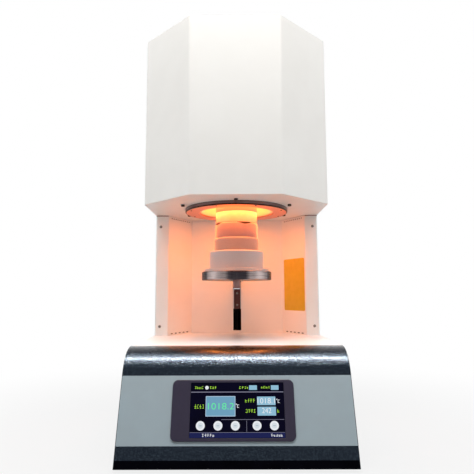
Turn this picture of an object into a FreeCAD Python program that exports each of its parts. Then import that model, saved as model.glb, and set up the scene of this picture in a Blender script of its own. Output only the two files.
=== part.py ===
import FreeCAD, Part
import math
import os

# Zirconia sintering furnace with a bottom-loading chamber, in millimetres.
# X points right, Y to the rear and Z up. The origin is on the floor, on the chamber's axis.

# Clearances
seam = 0.3
running_gap = 0.05
press_gap = 0.02
loose_gap = 0.5
stop_gap = 1.0
overcut = 1.0

# Base
foot_height = 6.0
foot_radius = 14.0
foot_taper = 2.0
foot_inset_side = 45.0
foot_inset_front = 60.0
foot_inset_rear = 40.0
base_height = 178.4
cover_width = 388.0
cover_reach = 235.6
cover_lean = 19.4
cover_bend = 62.0
cover_sheet = 2.0
cover_edge_round = 1.5
deck_front = 127.0
cabinet_inset = 2.8
cabinet_sheet = 1.5
cabinet_bend = 2.0
pan_sheet = 2.0
pan_flange = 14.0
rear_reach = 228.0
rear_panel_sheet = 2.0
side_vent_count = 7
side_vent_pitch = 14.0
side_vent_width = 5.0
side_vent_length = 70.0
side_vent_low = 40.0
side_vent_rear = 60.0

# Sloping front, measured up the slope from the cover's bottom edge
panel_low = 33.7
panel_height = 109.4
panel_sheet = 1.0
panel_corner = 1.0
strip_low = 0.5
strip_height = 12.4
bezel_width = 201.3
bezel_height = 95.6
bezel_depth = 3.0
bezel_corner = 5.0
bezel_edge = 1.0
bezel_across = -5.4
bezel_up = 87.9
screen_width = 154.1
screen_height = 85.9
screen_across = 1.3
screen_gap = 0.2
glass_depth = 2.4
module_width = 186.0
module_height = 88.0
module_depth = 26.0
module_step = 12.0

# Tower
tower_inset = 5.4
tower_height = 273.6
tower_rear_inset = 2.0
tower_sheet = 1.5
column_front = 74.4
column_face = 29.2
column_bend = 2.0
liner_sheet = 1.2
liner_bend = 3.0
liner_flange = 18.0
bay_rear_room = 72.5
bay_back_width = 221.8
slot_width = 19.0
slot_low = 6.0
slot_top_margin = 18.0
bay_vent_count = 10
bay_vent_pitch = 7.5
bay_vent_radius = 1.6
bay_vent_drop = 5.0
bay_dash_count = 5
bay_dash_pitch = 15.0
bay_dash_length = 9.0
bay_dash_height = 2.4
bay_dash_rise = 4.0
rear_vent_count = 8
rear_vent_pitch = 11.0
rear_vent_length = 90.0
rear_vent_height = 4.0
rear_vent_across = 70.0
rear_vent_low_rise = 60.0
rear_vent_high_drop = 150.0

# Upper housing
housing_height = 347.0
facet_front = 164.4
facet_width = 171.4
housing_bend = 8.0
top_sheet = 1.5
top_flange = 13.0
top_vent_count = 9
top_vent_pitch = 16.0
top_vent_length = 90.0
top_vent_width = 5.0
top_vent_across = 60.0
floor_sheet = 2.0

# Mouth and chamber
ring_radius = 109.3
ring_inner = 79.0
ring_depth = 8.1
ring_edge = 1.2
throat_radius = 70.0
throat_recess = 3.0
throat_height = 42.0
throat_flare = 4.0
chamber_radius = 82.0
chamber_outer = 140.0
insulation_count = 2
insulation_height = 90.0
insulation_step = 6.0
roof_height = 60.0
casing_sheet = 1.5
casing_lip = 8.0
element_count = 4
element_circle = 68.0
element_spacing = 28.0
element_hot_radius = 3.0
element_cold_radius = 5.0
element_hang = 170.0
element_cold_dip = 15.0
element_rise = 30.0
clamp_length = 52.0
clamp_width = 20.0
clamp_height = 12.0
probe_radius = 4.0
probe_hang = 16.0
probe_head_radius = 14.0
probe_head_height = 22.0
probe_head_edge = 2.0

# Lift
lift_inset = 37.0
rod_radius = 6.0
rod_spread = 40.0
screw_radius = 6.0
screw_edge = 1.0
block_depth_front = 23.0
block_height = 15.0
block_chamfer = 3.0
lower_block_low = 119.0
upper_block_drop = 3.0
spine_half_width = 62.0
spine_sheet = 3.0
spine_flange = 21.0
spine_bend = 1.0
carriage_half_width = 55.0
carriage_depth = 40.0
carriage_height = 65.0
carriage_chamfer = 2.0
motor_size = 56.4
motor_height = 76.0
motor_corner = 6.0
motor_cap = 14.0
motor_boss_radius = 19.0
motor_boss_height = 1.6
shaft_radius = 4.0
shaft_reach = 20.0
shaft_socket = 12.0
coupler_radius = 12.5
coupler_height = 30.0
coupler_slit = 1.5
arm_width = 15.6
arm_height = 17.4
arm_reach = 34.0
arm_leg_depth = 9.5
deck_hole_margin = 2.0
tray_bottom = 300.4
tray_radius = 73.3
tray_height = 17.6
tray_wall = 2.5
tray_edge = 1.0
lip_radius = 68.0
lip_height = 5.7
lip_edge = 1.2
stack_radii = [57.0, 47.5, 44.8]
stack_heights = [37.3, 27.8, 31.6]
stack_edge = 2.6
scallop_count = 4
scallop_radius = 32.5
scallop_depth = 4.5
scallop_inner = 30.0
scallop_turn = 25.0
spigot_radius = 25.0
spigot_height = 3.0

# Crucible
crucible_radius = 44.0
crucible_wall = 4.0
crucible_floor = 4.0
crucible_height = 38.0
crucible_foot_wall = 6.0
crucible_foot_height = 7.0
lid_height = 5.0
lid_spigot = 3.0
lid_edge = 1.0
lid_knob_radius = 10.0
lid_knob_height = 4.0

# Electrics
fan_size = 80.0
fan_depth = 25.0
fan_bore = 37.5
fan_corner = 5.0
fan_hub_radius = 17.0
fan_tip_gap = 2.0
fan_blade_count = 7
fan_blade_sheet = 2.0
fan_blade_pitch = 35.0
fan_strut_width = 5.0
fan_strut_depth = 3.0
fan_pin_radius = 3.0
fan_across = -120.0
fan_up = 95.0
guard_sheet = 1.5
guard_ring_width = 2.5
guard_ring_count = 4
guard_ring_pitch = 8.0
guard_arm_width = 4.0
switch_across = 120.0
switch_up = 120.0
switch_width = 19.0
switch_height = 32.0
switch_flange = 2.0
switch_body_depth = 22.0
rocker_radius = 11.5
rocker_half_width = 6.5
rocker_side_gap = 0.4
rocker_tilt = 12.0
rocker_crown = 4.0
rocker_sink = 5.0
rocker_pin_radius = 1.5
rocker_axis_sink = 1.0
gland_across = 120.0
gland_up = 50.0
gland_hex = 22.0
gland_hex_depth = 4.0
gland_radius = 9.5
gland_depth = 12.0
gland_edge = 2.0
gland_seal_radius = 5.5
gland_seal_sink = 1.5
gland_thread_radius = 8.0
gland_thread_depth = 10.0
core_width = 96.0
core_height = 80.0
core_depth = 44.0
core_leg = 16.0
coil_gap = 0.3
coil_reach = 14.0
coil_corner = 6.0
transformer_margin = 21.7
transformer_front = 60.0
sink_width = 120.0
sink_length = 100.0
sink_base = 8.0
sink_fin_count = 9
sink_fin_height = 26.0
sink_fin_sheet = 2.5
sink_margin = 11.7
sink_front = 70.0
power_module_width = 34.0
power_module_length = 92.0
power_module_height = 28.0
power_module_spread = 30.0
board_width = 150.0
board_length = 110.0
board_sheet = 1.6
board_post_radius = 4.0
board_post_height = 12.0
board_post_inset = 6.0
board_across = 0.0
board_front = 95.0
relay_count = 4
relay_pitch = 24.0
relay_width = 16.0
relay_length = 28.0
relay_height = 16.0
capacitor_count = 3
capacitor_pitch = 20.0
capacitor_radius = 7.0
capacitor_height = 24.0

# Levels and planes that follow from the sizes above
cabinet_width = cover_width - 2 * cabinet_inset
tower_width = cabinet_width - 2 * tower_inset
tower_rear = rear_reach - tower_rear_inset
bay_back = rear_reach - bay_rear_room
lift_axis = rear_reach - lift_inset
cabinet_inner_half = cabinet_width / 2 - cabinet_sheet
transformer_across = transformer_margin + core_width / 2 - cabinet_inner_half
sink_across = cabinet_inner_half - sink_margin - sink_width / 2
deck_level = foot_height + base_height
pan_top = foot_height + pan_sheet
tower_top = deck_level + tower_height
housing_top_level = tower_top + housing_height
ring_low = tower_top - ring_depth
throat_low = ring_low + throat_recess
floor_top = tower_top + floor_sheet
throat_top = floor_top + throat_height
rings_top = throat_top + insulation_count * insulation_height
roof_top = rings_top + roof_height
tray_low = foot_height + tray_bottom
tray_top = tray_low + tray_height
lip_top = tray_top + lip_height
arm_low = tray_low - arm_height
carriage_low = tray_low - carriage_height
lower_block_top = lower_block_low + block_height
upper_block_top = tower_top - upper_block_drop
upper_block_low = upper_block_top - block_height
spine_front = lift_axis + motor_size / 2 + seam
bay_front_half = tower_width / 2 - column_face
slope_tangent = math.tan(math.radians(cover_lean))
slope_cosine = math.cos(math.radians(cover_lean))
bend_share = math.tan(math.radians(90 - cover_lean) / 2)
rim_share = 1 - math.cos(math.radians(45))
housing_plan = [
    (-tower_width / 2, tower_rear - tower_sheet),
    (-tower_width / 2, (tower_width - facet_width) / 2 - facet_front),
    (-facet_width / 2, -facet_front),
    (facet_width / 2, -facet_front),
    (tower_width / 2, (tower_width - facet_width) / 2 - facet_front),
    (tower_width / 2, tower_rear - tower_sheet),
]
liner_plan = [
    (-bay_front_half - liner_flange, column_front + tower_sheet),
    (-bay_front_half, column_front + tower_sheet),
    (-bay_back_width / 2, bay_back),
    (bay_back_width / 2, bay_back),
    (bay_front_half, column_front + tower_sheet),
    (bay_front_half + liner_flange, column_front + tower_sheet),
]


def vec(x, y, z):
    return FreeCAD.Vector(x, y, z)


def block(x0, x1, y0, y1, z0, z1):
    """Box between two corners."""
    return Part.makeBox(x1 - x0, y1 - y0, z1 - z0, vec(x0, y0, z0))


def post(x, y, z0, z1, radius):
    """Upright cylinder."""
    return Part.makeCylinder(radius, z1 - z0, vec(x, y, z0))


def rod_back(x, y0, y1, z, radius):
    """Cylinder that points to the rear."""
    return Part.makeCylinder(radius, y1 - y0, vec(x, y0, z), vec(0, 1, 0))


def rod_across(x0, x1, y, z, radius):
    """Cylinder that points to the right."""
    return Part.makeCylinder(radius, x1 - x0, vec(x0, y, z), vec(1, 0, 0))


def prism(points, low, high):
    """Plan outline raised from one level to another."""
    corners = [vec(x, y, low) for x, y in points]
    wire = Part.makePolygon(corners + corners[:1])
    return Part.Face(wire).extrude(vec(0, 0, high - low))


def profile_along_x(points, x0, x1):
    """Side outline of (y, z) points carried from x0 to x1."""
    corners = [vec(x0, y, z) for y, z in points]
    wire = Part.makePolygon(corners + corners[:1])
    return Part.Face(wire).extrude(vec(x1 - x0, 0, 0))


def profile_along_y(points, y0, y1):
    """Front outline of (x, z) points carried from y0 to y1."""
    corners = [vec(x, y0, z) for x, z in points]
    wire = Part.makePolygon(corners + corners[:1])
    return Part.Face(wire).extrude(vec(0, y1 - y0, 0))


def turned(points):
    """Solid of revolution about the Z axis from (radius, z) points."""
    corners = [vec(r, 0, z) for r, z in points]
    wire = Part.makePolygon(corners + corners[:1])
    return Part.Face(wire).revolve(vec(0, 0, 0), vec(0, 0, 1), 360)


def fused(shapes):
    """One solid from touching shapes, its split faces joined."""
    return shapes[0].fuse(shapes[1:]).removeSplitter()


def upright_edges(solid, places):
    """The vertical edges that stand at the given plan places."""
    found = []
    for edge in solid.Edges:
        ends = [vertex.Point for vertex in edge.Vertexes]
        if len(ends) != 2 or abs(ends[0].z - ends[1].z) < 0.1:
            continue
        for x, y in places:
            if all(math.hypot(end.x - x, end.y - y) < 0.01 for end in ends):
                found.append(edge)
    return found


def offset_path(points, distance):
    """Open path moved sideways, to the left of its direction of travel."""
    normals = []
    for (x0, y0), (x1, y1) in zip(points, points[1:]):
        length = math.hypot(x1 - x0, y1 - y0)
        normals.append(((y0 - y1) / length, (x1 - x0) / length))
    joined = [normals[0]] + [None] * (len(points) - 2) + [normals[-1]]
    for i in range(1, len(points) - 1):
        (ax, ay), (bx, by) = normals[i - 1], normals[i]
        scale = 1 + ax * bx + ay * by
        joined[i] = ((ax + bx) / scale, (ay + by) / scale)
    return [(x + nx * distance, y + ny * distance) for (x, y), (nx, ny) in zip(points, joined)]


def turns_left(points, i):
    """Whether the path turns left at its point i."""
    (x0, y0), (x1, y1), (x2, y2) = points[i - 1], points[i], points[i + 1]
    return (x1 - x0) * (y2 - y1) - (y1 - y0) * (x2 - x1) > 0


def folded_sheet(points, sheet, bend, low, high):
    """Sheet folded along an open plan path, its thickness to the left of the path."""
    inner = offset_path(points, sheet)
    solid = prism(points + inner[::-1], low, high)
    tight = []
    wide = []
    for i in range(1, len(points) - 1):
        left = turns_left(points, i)
        tight.append(inner[i] if left else points[i])
        wide.append(points[i] if left else inner[i])
    solid = solid.makeFillet(bend, upright_edges(solid, tight))
    return solid.makeFillet(bend + sheet, upright_edges(solid, wide))


def rounded_plate(width, height, depth, corner):
    """Flat plate centred on X and Y, standing on Z, with rounded corners."""
    plate = block(-width / 2, width / 2, -height / 2, height / 2, 0, depth)
    corners = [(sx * width / 2, sy * height / 2) for sx in (-1, 1) for sy in (-1, 1)]
    return plate.makeFillet(corner, upright_edges(plate, corners))


def obround(length, width, depth):
    """Slot tool centred on the origin, long along X, cutting along Z."""
    half = (length - width) / 2
    bar = block(-half, half, -width / 2, width / 2, -depth / 2, depth / 2)
    ends = [post(sx * half, 0, -depth / 2, depth / 2, width / 2) for sx in (-1, 1)]
    return fused([bar] + ends)


def faced_back(tool, x, y, z):
    """Tool modelled along Z, turned to point along Y and placed."""
    tool = tool.copy()
    tool.rotate(vec(0, 0, 0), vec(1, 0, 0), 90)
    tool.translate(vec(x, y, z))
    return tool


def on_slope(shape, across, up, out):
    """Shape modelled flat, laid on the sloping front: X across, Y up the slope, Z outward."""
    shape = shape.copy()
    shape.translate(vec(across, up, out))
    shape.rotate(vec(0, 0, 0), vec(1, 0, 0), 90 - cover_lean)
    shape.translate(vec(0, -cover_reach, foot_height))
    return shape


def cover_bend_in_use():
    """Radius of the cover's bend, limited by the flat top that it runs into."""
    corner_y = base_height * slope_tangent - cover_reach
    flat_top = -deck_front - corner_y - overcut
    return min(cover_bend, flat_top / bend_share)


def cover_outline(inset, rear, low):
    """Side outline of the cover, its front and top moved inward by the inset."""
    foot_y = inset / slope_cosine - cover_reach
    top = deck_level - inset
    bend = cover_bend_in_use() - inset
    corner_y = foot_y + (top - foot_height) * slope_tangent
    tangent = bend * bend_share
    slope_sine = math.sin(math.radians(cover_lean))
    slope_end = vec(0, corner_y - tangent * slope_sine, top - tangent * slope_cosine)
    top_end = vec(0, corner_y + tangent, top)
    centre = vec(0, top_end.y, top - bend)
    half = math.radians(90 + (90 - cover_lean) / 2)
    middle = vec(0, centre.y + bend * math.cos(half), centre.z + bend * math.sin(half))
    start = vec(0, foot_y - (foot_height - low) * slope_tangent, low)
    edges = [
        Part.LineSegment(start, slope_end).toShape(),
        Part.Arc(slope_end, middle, top_end).toShape(),
        Part.LineSegment(top_end, vec(0, rear, top)).toShape(),
        Part.LineSegment(vec(0, rear, top), vec(0, rear, low)).toShape(),
        Part.LineSegment(vec(0, rear, low), start).toShape(),
    ]
    return Part.Face(Part.Wire(edges))


def front_cover():
    """Bent cover of the base: big bend, sloping front, two cheeks, open behind and below."""
    half = cover_width / 2
    outer = cover_outline(0, -deck_front, foot_height).extrude(vec(cover_width, 0, 0))
    outer.translate(vec(-half, 0, 0))
    rims = []
    for edge in outer.Edges:
        box = edge.BoundBox
        at_end = box.XLength < 0.01 and abs(abs(box.XMin) - half) < 0.01
        on_front = box.YMin < -deck_front - 0.1 and box.ZMax > foot_height + 0.1
        if at_end and on_front:
            rims.append(edge)
    outer = outer.makeFillet(cover_edge_round, rims)
    inner = cover_outline(cover_sheet, 0, 0).extrude(vec(cover_width - 2 * cover_sheet, 0, 0))
    inner.translate(vec(cover_sheet - half, 0, 0))
    return outer.cut([inner, module_opening()])


def module_opening():
    """Cut-out for the screen module, through the panel and the cover."""
    width = module_width + 2 * loose_gap
    height = module_height + 2 * loose_gap
    tool = rounded_plate(width, height, 3 * module_depth, loose_gap)
    return on_slope(tool, bezel_across, bezel_up, -1.5 * module_depth)


def slope_strip(low, height):
    """Thin plate across the whole slope."""
    width = cover_width - 2 * cover_edge_round
    strip = rounded_plate(width, height, panel_sheet, panel_corner)
    return on_slope(strip, 0, low + height / 2, 0)


def control_panel():
    return slope_strip(panel_low, panel_height).cut(module_opening())


def kick_strip():
    return slope_strip(strip_low, strip_height)


def display_bezel():
    """Frame round the screen, with an eased front rim."""
    frame = rounded_plate(bezel_width, bezel_height, bezel_depth, bezel_corner)
    rim = [edge for edge in frame.Edges if edge.BoundBox.ZMin > bezel_depth - 0.01]
    frame = frame.makeFillet(bezel_edge, rim)
    width = screen_width + 2 * screen_gap
    height = screen_height + 2 * screen_gap
    window = rounded_plate(width, height, 3 * bezel_depth, screen_gap)
    window.translate(vec(screen_across - bezel_across, 0, -bezel_depth))
    return on_slope(frame.cut(window), bezel_across, bezel_up, panel_sheet)


def display_glass():
    glass = rounded_plate(screen_width, screen_height, glass_depth, screen_gap)
    return on_slope(glass, screen_across, bezel_up, panel_sheet)


def display_module():
    """Screen module behind the bezel, with a smaller rear cover."""
    body = rounded_plate(module_width, module_height, module_depth - module_step, 2 * loose_gap)
    rear = rounded_plate(
        module_width - 2 * module_step, module_height - module_step, module_step, 2 * loose_gap
    )
    body.translate(vec(0, 0, module_step - module_depth))
    rear.translate(vec(0, 0, -module_depth))
    return on_slope(fused([body, rear]), bezel_across, bezel_up, panel_sheet)


def base_pan():
    """Folded floor of the base, with upturned flanges on its four sides."""
    half = cabinet_width / 2 - cabinet_sheet - seam
    inset = cover_sheet + seam
    front = inset / slope_cosine - cover_reach
    front_top = front + pan_flange * slope_tangent
    rear = rear_reach - rear_panel_sheet - seam
    inner_front = front + pan_sheet / slope_cosine
    low = foot_height
    points = [
        (front, low),
        (rear, low),
        (rear, low + pan_flange),
        (rear - pan_sheet, low + pan_flange),
        (rear - pan_sheet, pan_top),
        (inner_front + pan_sheet * slope_tangent, pan_top),
        (front_top + pan_sheet / slope_cosine, low + pan_flange),
        (front_top, low + pan_flange),
    ]
    pan = profile_along_x(points, -half, half)
    sides = []
    for side in (-1, 1):
        x0, x1 = sorted((side * half, side * (half - pan_sheet)))
        sides.append(block(x0, x1, -deck_front, rear, low, low + pan_flange))
    return fused([pan] + sides)


def lift_opening():
    """Hole in the deck that the lift passes through."""
    half = spine_half_width + deck_hole_margin
    front = bay_back + liner_sheet + seam
    return block(-half, half, front, tower_rear - tower_sheet - seam, pan_top, deck_level + overcut)


def base_cabinet():
    """Deck and two side walls in one folded sheet, with vents and the lift's opening."""
    half = cabinet_width / 2
    length = rear_reach - rear_panel_sheet + deck_front - seam
    path = [(-half, 0), (-half, base_height), (half, base_height), (half, 0)]
    sheet = folded_sheet(path[::-1], cabinet_sheet, cabinet_bend, 0, length)
    sheet.rotate(vec(0, 0, 0), vec(1, 0, 0), 90)
    sheet.translate(vec(0, length - deck_front + seam, foot_height))
    tools = [lift_opening()]
    for i in range(side_vent_count):
        slot = obround(side_vent_length, side_vent_width, cabinet_width + 2 * overcut)
        slot.rotate(vec(0, 0, 0), vec(0, 1, 0), 90)
        y = rear_reach - side_vent_rear - i * side_vent_pitch
        slot.translate(vec(0, y, foot_height + side_vent_low + side_vent_length / 2))
        tools.append(slot)
    return sheet.cut(tools)


def foot(x, y):
    """Round rubber foot with a tapered side."""
    return Part.makeCone(foot_radius - foot_taper, foot_radius, foot_height, vec(x, y, 0))


def rear_panel():
    """Rear wall of the base with cut-outs for the fan, the switch and the cable gland."""
    half = cabinet_width / 2
    y0 = rear_reach - rear_panel_sheet
    panel = block(-half, half, y0, rear_reach, foot_height, deck_level)
    far = 3 * rear_panel_sheet
    holes = [
        rod_back(fan_across, y0 - far, rear_reach + far, fan_up, fan_bore),
        rod_back(gland_across, y0 - far, rear_reach + far, gland_up, gland_thread_radius + press_gap),
        switch_body(seam, y0 - far, rear_reach + far),
    ]
    return panel.cut(holes)


def column(side):
    """Folded column: outer side wall and narrow front face."""
    half = tower_width / 2
    path = [(half - column_face, column_front), (half, column_front), (half, tower_rear - tower_sheet)]
    sheet = folded_sheet(path, tower_sheet, column_bend, deck_level, tower_top - seam)
    return sheet if side > 0 else sheet.mirror(vec(0, 0, 0), vec(1, 0, 0))


def along_bay_wall(share):
    """Plan place on the right angled wall, by its share of the way from front to back."""
    (x0, y0), (x1, y1) = liner_plan[4], liner_plan[3]
    return x0 + (x1 - x0) * share, y0 + (y1 - y0) * share


def bay_row(tool, count, pitch, level):
    """Row of through cuts along both angled walls, centred on them."""
    (x0, y0), (x1, y1) = liner_plan[4], liner_plan[3]
    length = math.hypot(x1 - x0, y1 - y0)
    angle = math.degrees(math.atan2(y1 - y0, x1 - x0))
    cuts = []
    for i in range(count):
        share = 0.5 + (i - (count - 1) / 2) * pitch / length
        x, y = along_bay_wall(share)
        cut = tool.copy()
        cut.rotate(vec(0, 0, 0), vec(1, 0, 0), 90)
        cut.rotate(vec(0, 0, 0), vec(0, 0, 1), angle)
        cut.translate(vec(x, y, level))
        cuts.append(cut)
        cuts.append(cut.mirror(vec(0, 0, 0), vec(1, 0, 0)))
    return cuts


def alcove_liner():
    """Folded back of the loading bay: angled walls, flat back and the lift's slot."""
    sheet = folded_sheet(liner_plan, liner_sheet, liner_bend, deck_level, tower_top - seam)
    far = 10 * liner_sheet
    slot = block(
        -slot_width / 2,
        slot_width / 2,
        bay_back - far,
        bay_back + far,
        deck_level + slot_low,
        tower_top - slot_top_margin,
    )
    hole = post(0, 0, -far, far, bay_vent_radius)
    dash = obround(bay_dash_length, bay_dash_height, 2 * far)
    tools = [slot]
    tools += bay_row(hole, bay_vent_count, bay_vent_pitch, tower_top - bay_vent_drop)
    tools += bay_row(dash, bay_dash_count, bay_dash_pitch, deck_level + bay_dash_rise)
    return sheet.cut(tools)


def rear_cover():
    """Tall rear wall of the tower and housing, with four groups of vent slots."""
    half = tower_width / 2
    y0 = tower_rear - tower_sheet
    plate = block(-half, half, y0, tower_rear, deck_level, housing_top_level - top_sheet)
    slot = obround(rear_vent_length, rear_vent_height, 4 * tower_sheet)
    slots = []
    for start in (deck_level + rear_vent_low_rise, housing_top_level - rear_vent_high_drop):
        for i in range(rear_vent_count):
            for side in (-1, 1):
                z = start + i * rear_vent_pitch
                slots.append(faced_back(slot, side * rear_vent_across, y0, z))
    return plate.cut(slots)


def housing_shell():
    """Front and sides of the upper housing, folded into five faces."""
    return folded_sheet(housing_plan, tower_sheet, housing_bend, tower_top, housing_top_level - top_sheet)


def housing_plate(inset, rear, low, high):
    """Flat plate with the housing's plan, its front and sides moved inward by the inset."""
    path = offset_path(housing_plan, inset)
    path = [(path[0][0], rear)] + path[1:-1] + [(path[-1][0], rear)]
    plate = prism(path, low, high)
    bend = housing_bend + tower_sheet - inset
    return plate.makeFillet(bend, upright_edges(plate, path[1:-1]))


def housing_top():
    """Top plate with a turned-down flange and vent slots over the terminals."""
    low = housing_top_level - top_sheet
    plate = housing_plate(0, tower_rear, low, housing_top_level)
    gap = tower_sheet + seam
    rear = tower_rear - gap
    outer = housing_plate(gap, rear, low - top_flange, low)
    inner = housing_plate(gap + top_sheet, rear - top_sheet, low - top_flange, low)
    lid = fused([plate, outer.cut(inner)])
    slots = []
    for i in range(top_vent_count):
        for side in (-1, 1):
            slot = obround(top_vent_length, top_vent_width, 4 * top_sheet)
            y = (i - (top_vent_count - 1) / 2) * top_vent_pitch
            slot.translate(vec(side * top_vent_across, y, low))
            slots.append(slot)
    return lid.cut(slots)


def housing_floor():
    """Floor of the upper housing, with the round opening for the throat."""
    gap = tower_sheet + seam
    plate = housing_plate(gap, tower_rear - gap, tower_top, floor_top)
    return plate.cut(post(0, 0, tower_top - overcut, floor_top + overcut, ring_inner))


def mouth_ring():
    """Stainless flange under the housing floor, with eased lower edges."""
    edge = ring_edge
    return turned(
        [
            (ring_inner + edge, ring_low),
            (ring_radius - edge, ring_low),
            (ring_radius, ring_low + edge),
            (ring_radius, tower_top),
            (ring_inner, tower_top),
            (ring_inner, ring_low + edge),
        ]
    )


def ring_middle():
    """Radius of the step between stacked insulation pieces."""
    return (chamber_radius + chamber_outer) / 2


def throat_ring():
    """Lowest insulation piece: its nose fills the mouth ring and narrows the way in."""
    nose = ring_inner - seam
    return turned(
        [
            (throat_radius + throat_flare, throat_low),
            (nose, throat_low),
            (nose, floor_top),
            (chamber_outer, floor_top),
            (chamber_outer, throat_top + insulation_step),
            (ring_middle(), throat_top + insulation_step),
            (ring_middle(), throat_top),
            (throat_radius, throat_top),
            (throat_radius, throat_low + throat_flare),
        ]
    )


def insulation_ring(index):
    """One of the stacked insulation rings, stepped so that it nests on the one below."""
    low = throat_top + index * insulation_height
    high = low + insulation_height
    return turned(
        [
            (chamber_radius, low),
            (ring_middle(), low),
            (ring_middle(), low + insulation_step),
            (chamber_outer, low + insulation_step),
            (chamber_outer, high + insulation_step),
            (ring_middle(), high + insulation_step),
            (ring_middle(), high),
            (chamber_radius, high),
        ]
    )


def element_places():
    """Angle about the chamber's axis of each heating element."""
    return [360 * (i + 0.5) / element_count for i in range(element_count)]


def element_legs(angle):
    """Plan places of an element's two legs."""
    turn = math.radians(angle)
    places = []
    for side in (-1, 1):
        across = side * element_spacing / 2
        x = element_circle * math.cos(turn) - across * math.sin(turn)
        y = element_circle * math.sin(turn) + across * math.cos(turn)
        places.append((x, y))
    return places


def chamber_roof():
    """Roof of the chamber, bored for the element legs and the temperature probe."""
    roof = turned(
        [
            (0, rings_top),
            (ring_middle(), rings_top),
            (ring_middle(), rings_top + insulation_step),
            (chamber_outer, rings_top + insulation_step),
            (chamber_outer, roof_top),
            (0, roof_top),
        ]
    )
    low = rings_top - overcut
    high = roof_top + overcut
    holes = [post(0, 0, low, high, probe_radius + loose_gap)]
    for angle in element_places():
        for x, y in element_legs(angle):
            holes.append(post(x, y, low, high, element_cold_radius + loose_gap))
    return roof.cut(holes)


def chamber_casing():
    """Steel drum round the insulation, with an inward lip on top."""
    inner = chamber_outer + seam
    outer = inner + casing_sheet
    lip = chamber_outer - casing_lip
    return turned(
        [
            (inner, floor_top),
            (outer, floor_top),
            (outer, roof_top + seam + casing_sheet),
            (lip, roof_top + seam + casing_sheet),
            (lip, roof_top + seam),
            (inner, roof_top + seam),
        ]
    )


def heating_element(angle):
    """U-shaped heating element: thin hot loop, thicker cold ends through the roof."""
    bend = element_spacing / 2
    loop_level = rings_top - element_hang + bend + element_hot_radius
    thick_low = rings_top - element_cold_dip
    thick_top = roof_top + element_rise
    pieces = []
    for side in (-1, 1):
        pieces.append(post(element_circle, side * bend, loop_level, thick_low, element_hot_radius))
        pieces.append(post(element_circle, side * bend, thick_low, thick_top, element_cold_radius))
    circle = Part.makeCircle(element_hot_radius, vec(element_circle, bend, loop_level), vec(0, 0, 1))
    section = Part.Face(Part.Wire(circle))
    pieces.append(section.revolve(vec(element_circle, 0, loop_level), vec(-1, 0, 0), 180))
    element = fused(pieces)
    element.rotate(vec(0, 0, 0), vec(0, 0, 1), angle)
    return element


def element_clamps():
    """Clamp blocks on the roof that carry the elements by their cold ends."""
    clamps = []
    for angle in element_places():
        clamp = block(
            element_circle - clamp_width / 2,
            element_circle + clamp_width / 2,
            -clamp_length / 2,
            clamp_length / 2,
            roof_top,
            roof_top + clamp_height,
        )
        clamp.rotate(vec(0, 0, 0), vec(0, 0, 1), angle)
        for x, y in element_legs(angle):
            bore = post(x, y, roof_top - overcut, roof_top + element_rise, element_cold_radius + press_gap)
            clamp = clamp.cut(bore)
        clamps.append(clamp)
    return Part.makeCompound(clamps)


def thermocouple():
    """Temperature probe: sheath through the roof, round head on top of it."""
    sheath = post(0, 0, rings_top - probe_hang, roof_top, probe_radius)
    head_top = roof_top + probe_head_height
    head = post(0, 0, roof_top, head_top, probe_head_radius)
    rims = [edge for edge in head.Edges if edge.BoundBox.ZMin > head_top - 0.01]
    return fused([sheath, head.makeChamfer(probe_head_edge, rims)])


def lift_spine():
    """Upright channel that carries the lift's blocks and stands on the pan."""
    half = spine_half_width
    path = [
        (half, spine_front + spine_sheet - spine_flange),
        (half, spine_front + spine_sheet),
        (-half, spine_front + spine_sheet),
        (-half, spine_front + spine_sheet - spine_flange),
    ]
    return folded_sheet(path, spine_sheet, spine_bend, pan_top, tower_top - seam)


def lift_block(low, high):
    """Block between the spine's flanges that holds the guide rods and bears the screw."""
    half = spine_half_width - spine_sheet - seam
    body = block(-half, half, lift_axis - block_depth_front, spine_front, low, high)
    corners = [(sx * half, y) for sx in (-1, 1) for y in (lift_axis - block_depth_front, spine_front)]
    body = body.makeChamfer(block_chamfer, upright_edges(body, corners))
    return body.cut(rod_holes(low - overcut, high + overcut, rod_radius + press_gap))


def rod_holes(low, high, radius):
    """Bores for the two guide rods."""
    return [post(side * rod_spread, lift_axis, low, high, radius) for side in (-1, 1)]


def lower_block():
    low = lower_block_low - overcut
    high = lower_block_top + overcut
    bore = post(0, lift_axis, low, high, screw_radius + running_gap)
    return lift_block(lower_block_low, lower_block_top).cut(bore)


def upper_block():
    low = upper_block_low - overcut
    high = upper_block_top - stop_gap
    bore = post(0, lift_axis, low, high, screw_radius + running_gap)
    return lift_block(upper_block_low, upper_block_top).cut(bore)


def guide_rod(side):
    return post(side * rod_spread, lift_axis, lower_block_low, upper_block_top, rod_radius)


def shaft_end():
    """Level of the motor shaft's free end."""
    return pan_top + motor_height + shaft_reach


def lead_screw():
    """Screw from the coupler to its bearing in the upper block."""
    top = upper_block_top - stop_gap - seam
    screw = post(0, lift_axis, shaft_end() + seam, top, screw_radius)
    rims = [edge for edge in screw.Edges if edge.BoundBox.ZMin > top - 0.01]
    return screw.makeChamfer(screw_edge, rims)


def motor_shaft():
    low = pan_top + motor_height - shaft_socket
    return post(0, lift_axis, low, shaft_end(), shaft_radius)


def screw_coupler():
    """Clamping coupler between the motor shaft and the screw."""
    middle = shaft_end()
    low = middle - coupler_height / 2
    high = middle + coupler_height / 2
    body = post(0, lift_axis, low, high, coupler_radius)
    shaft = post(0, lift_axis, low - overcut, middle, shaft_radius + press_gap)
    screw = post(0, lift_axis, middle, high + overcut, screw_radius + press_gap)
    half = coupler_slit / 2
    slit_rear = lift_axis + coupler_radius + overcut
    slit = block(-half, half, lift_axis, slit_rear, low - overcut, high + overcut)
    return body.cut([shaft, screw, slit])


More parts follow.
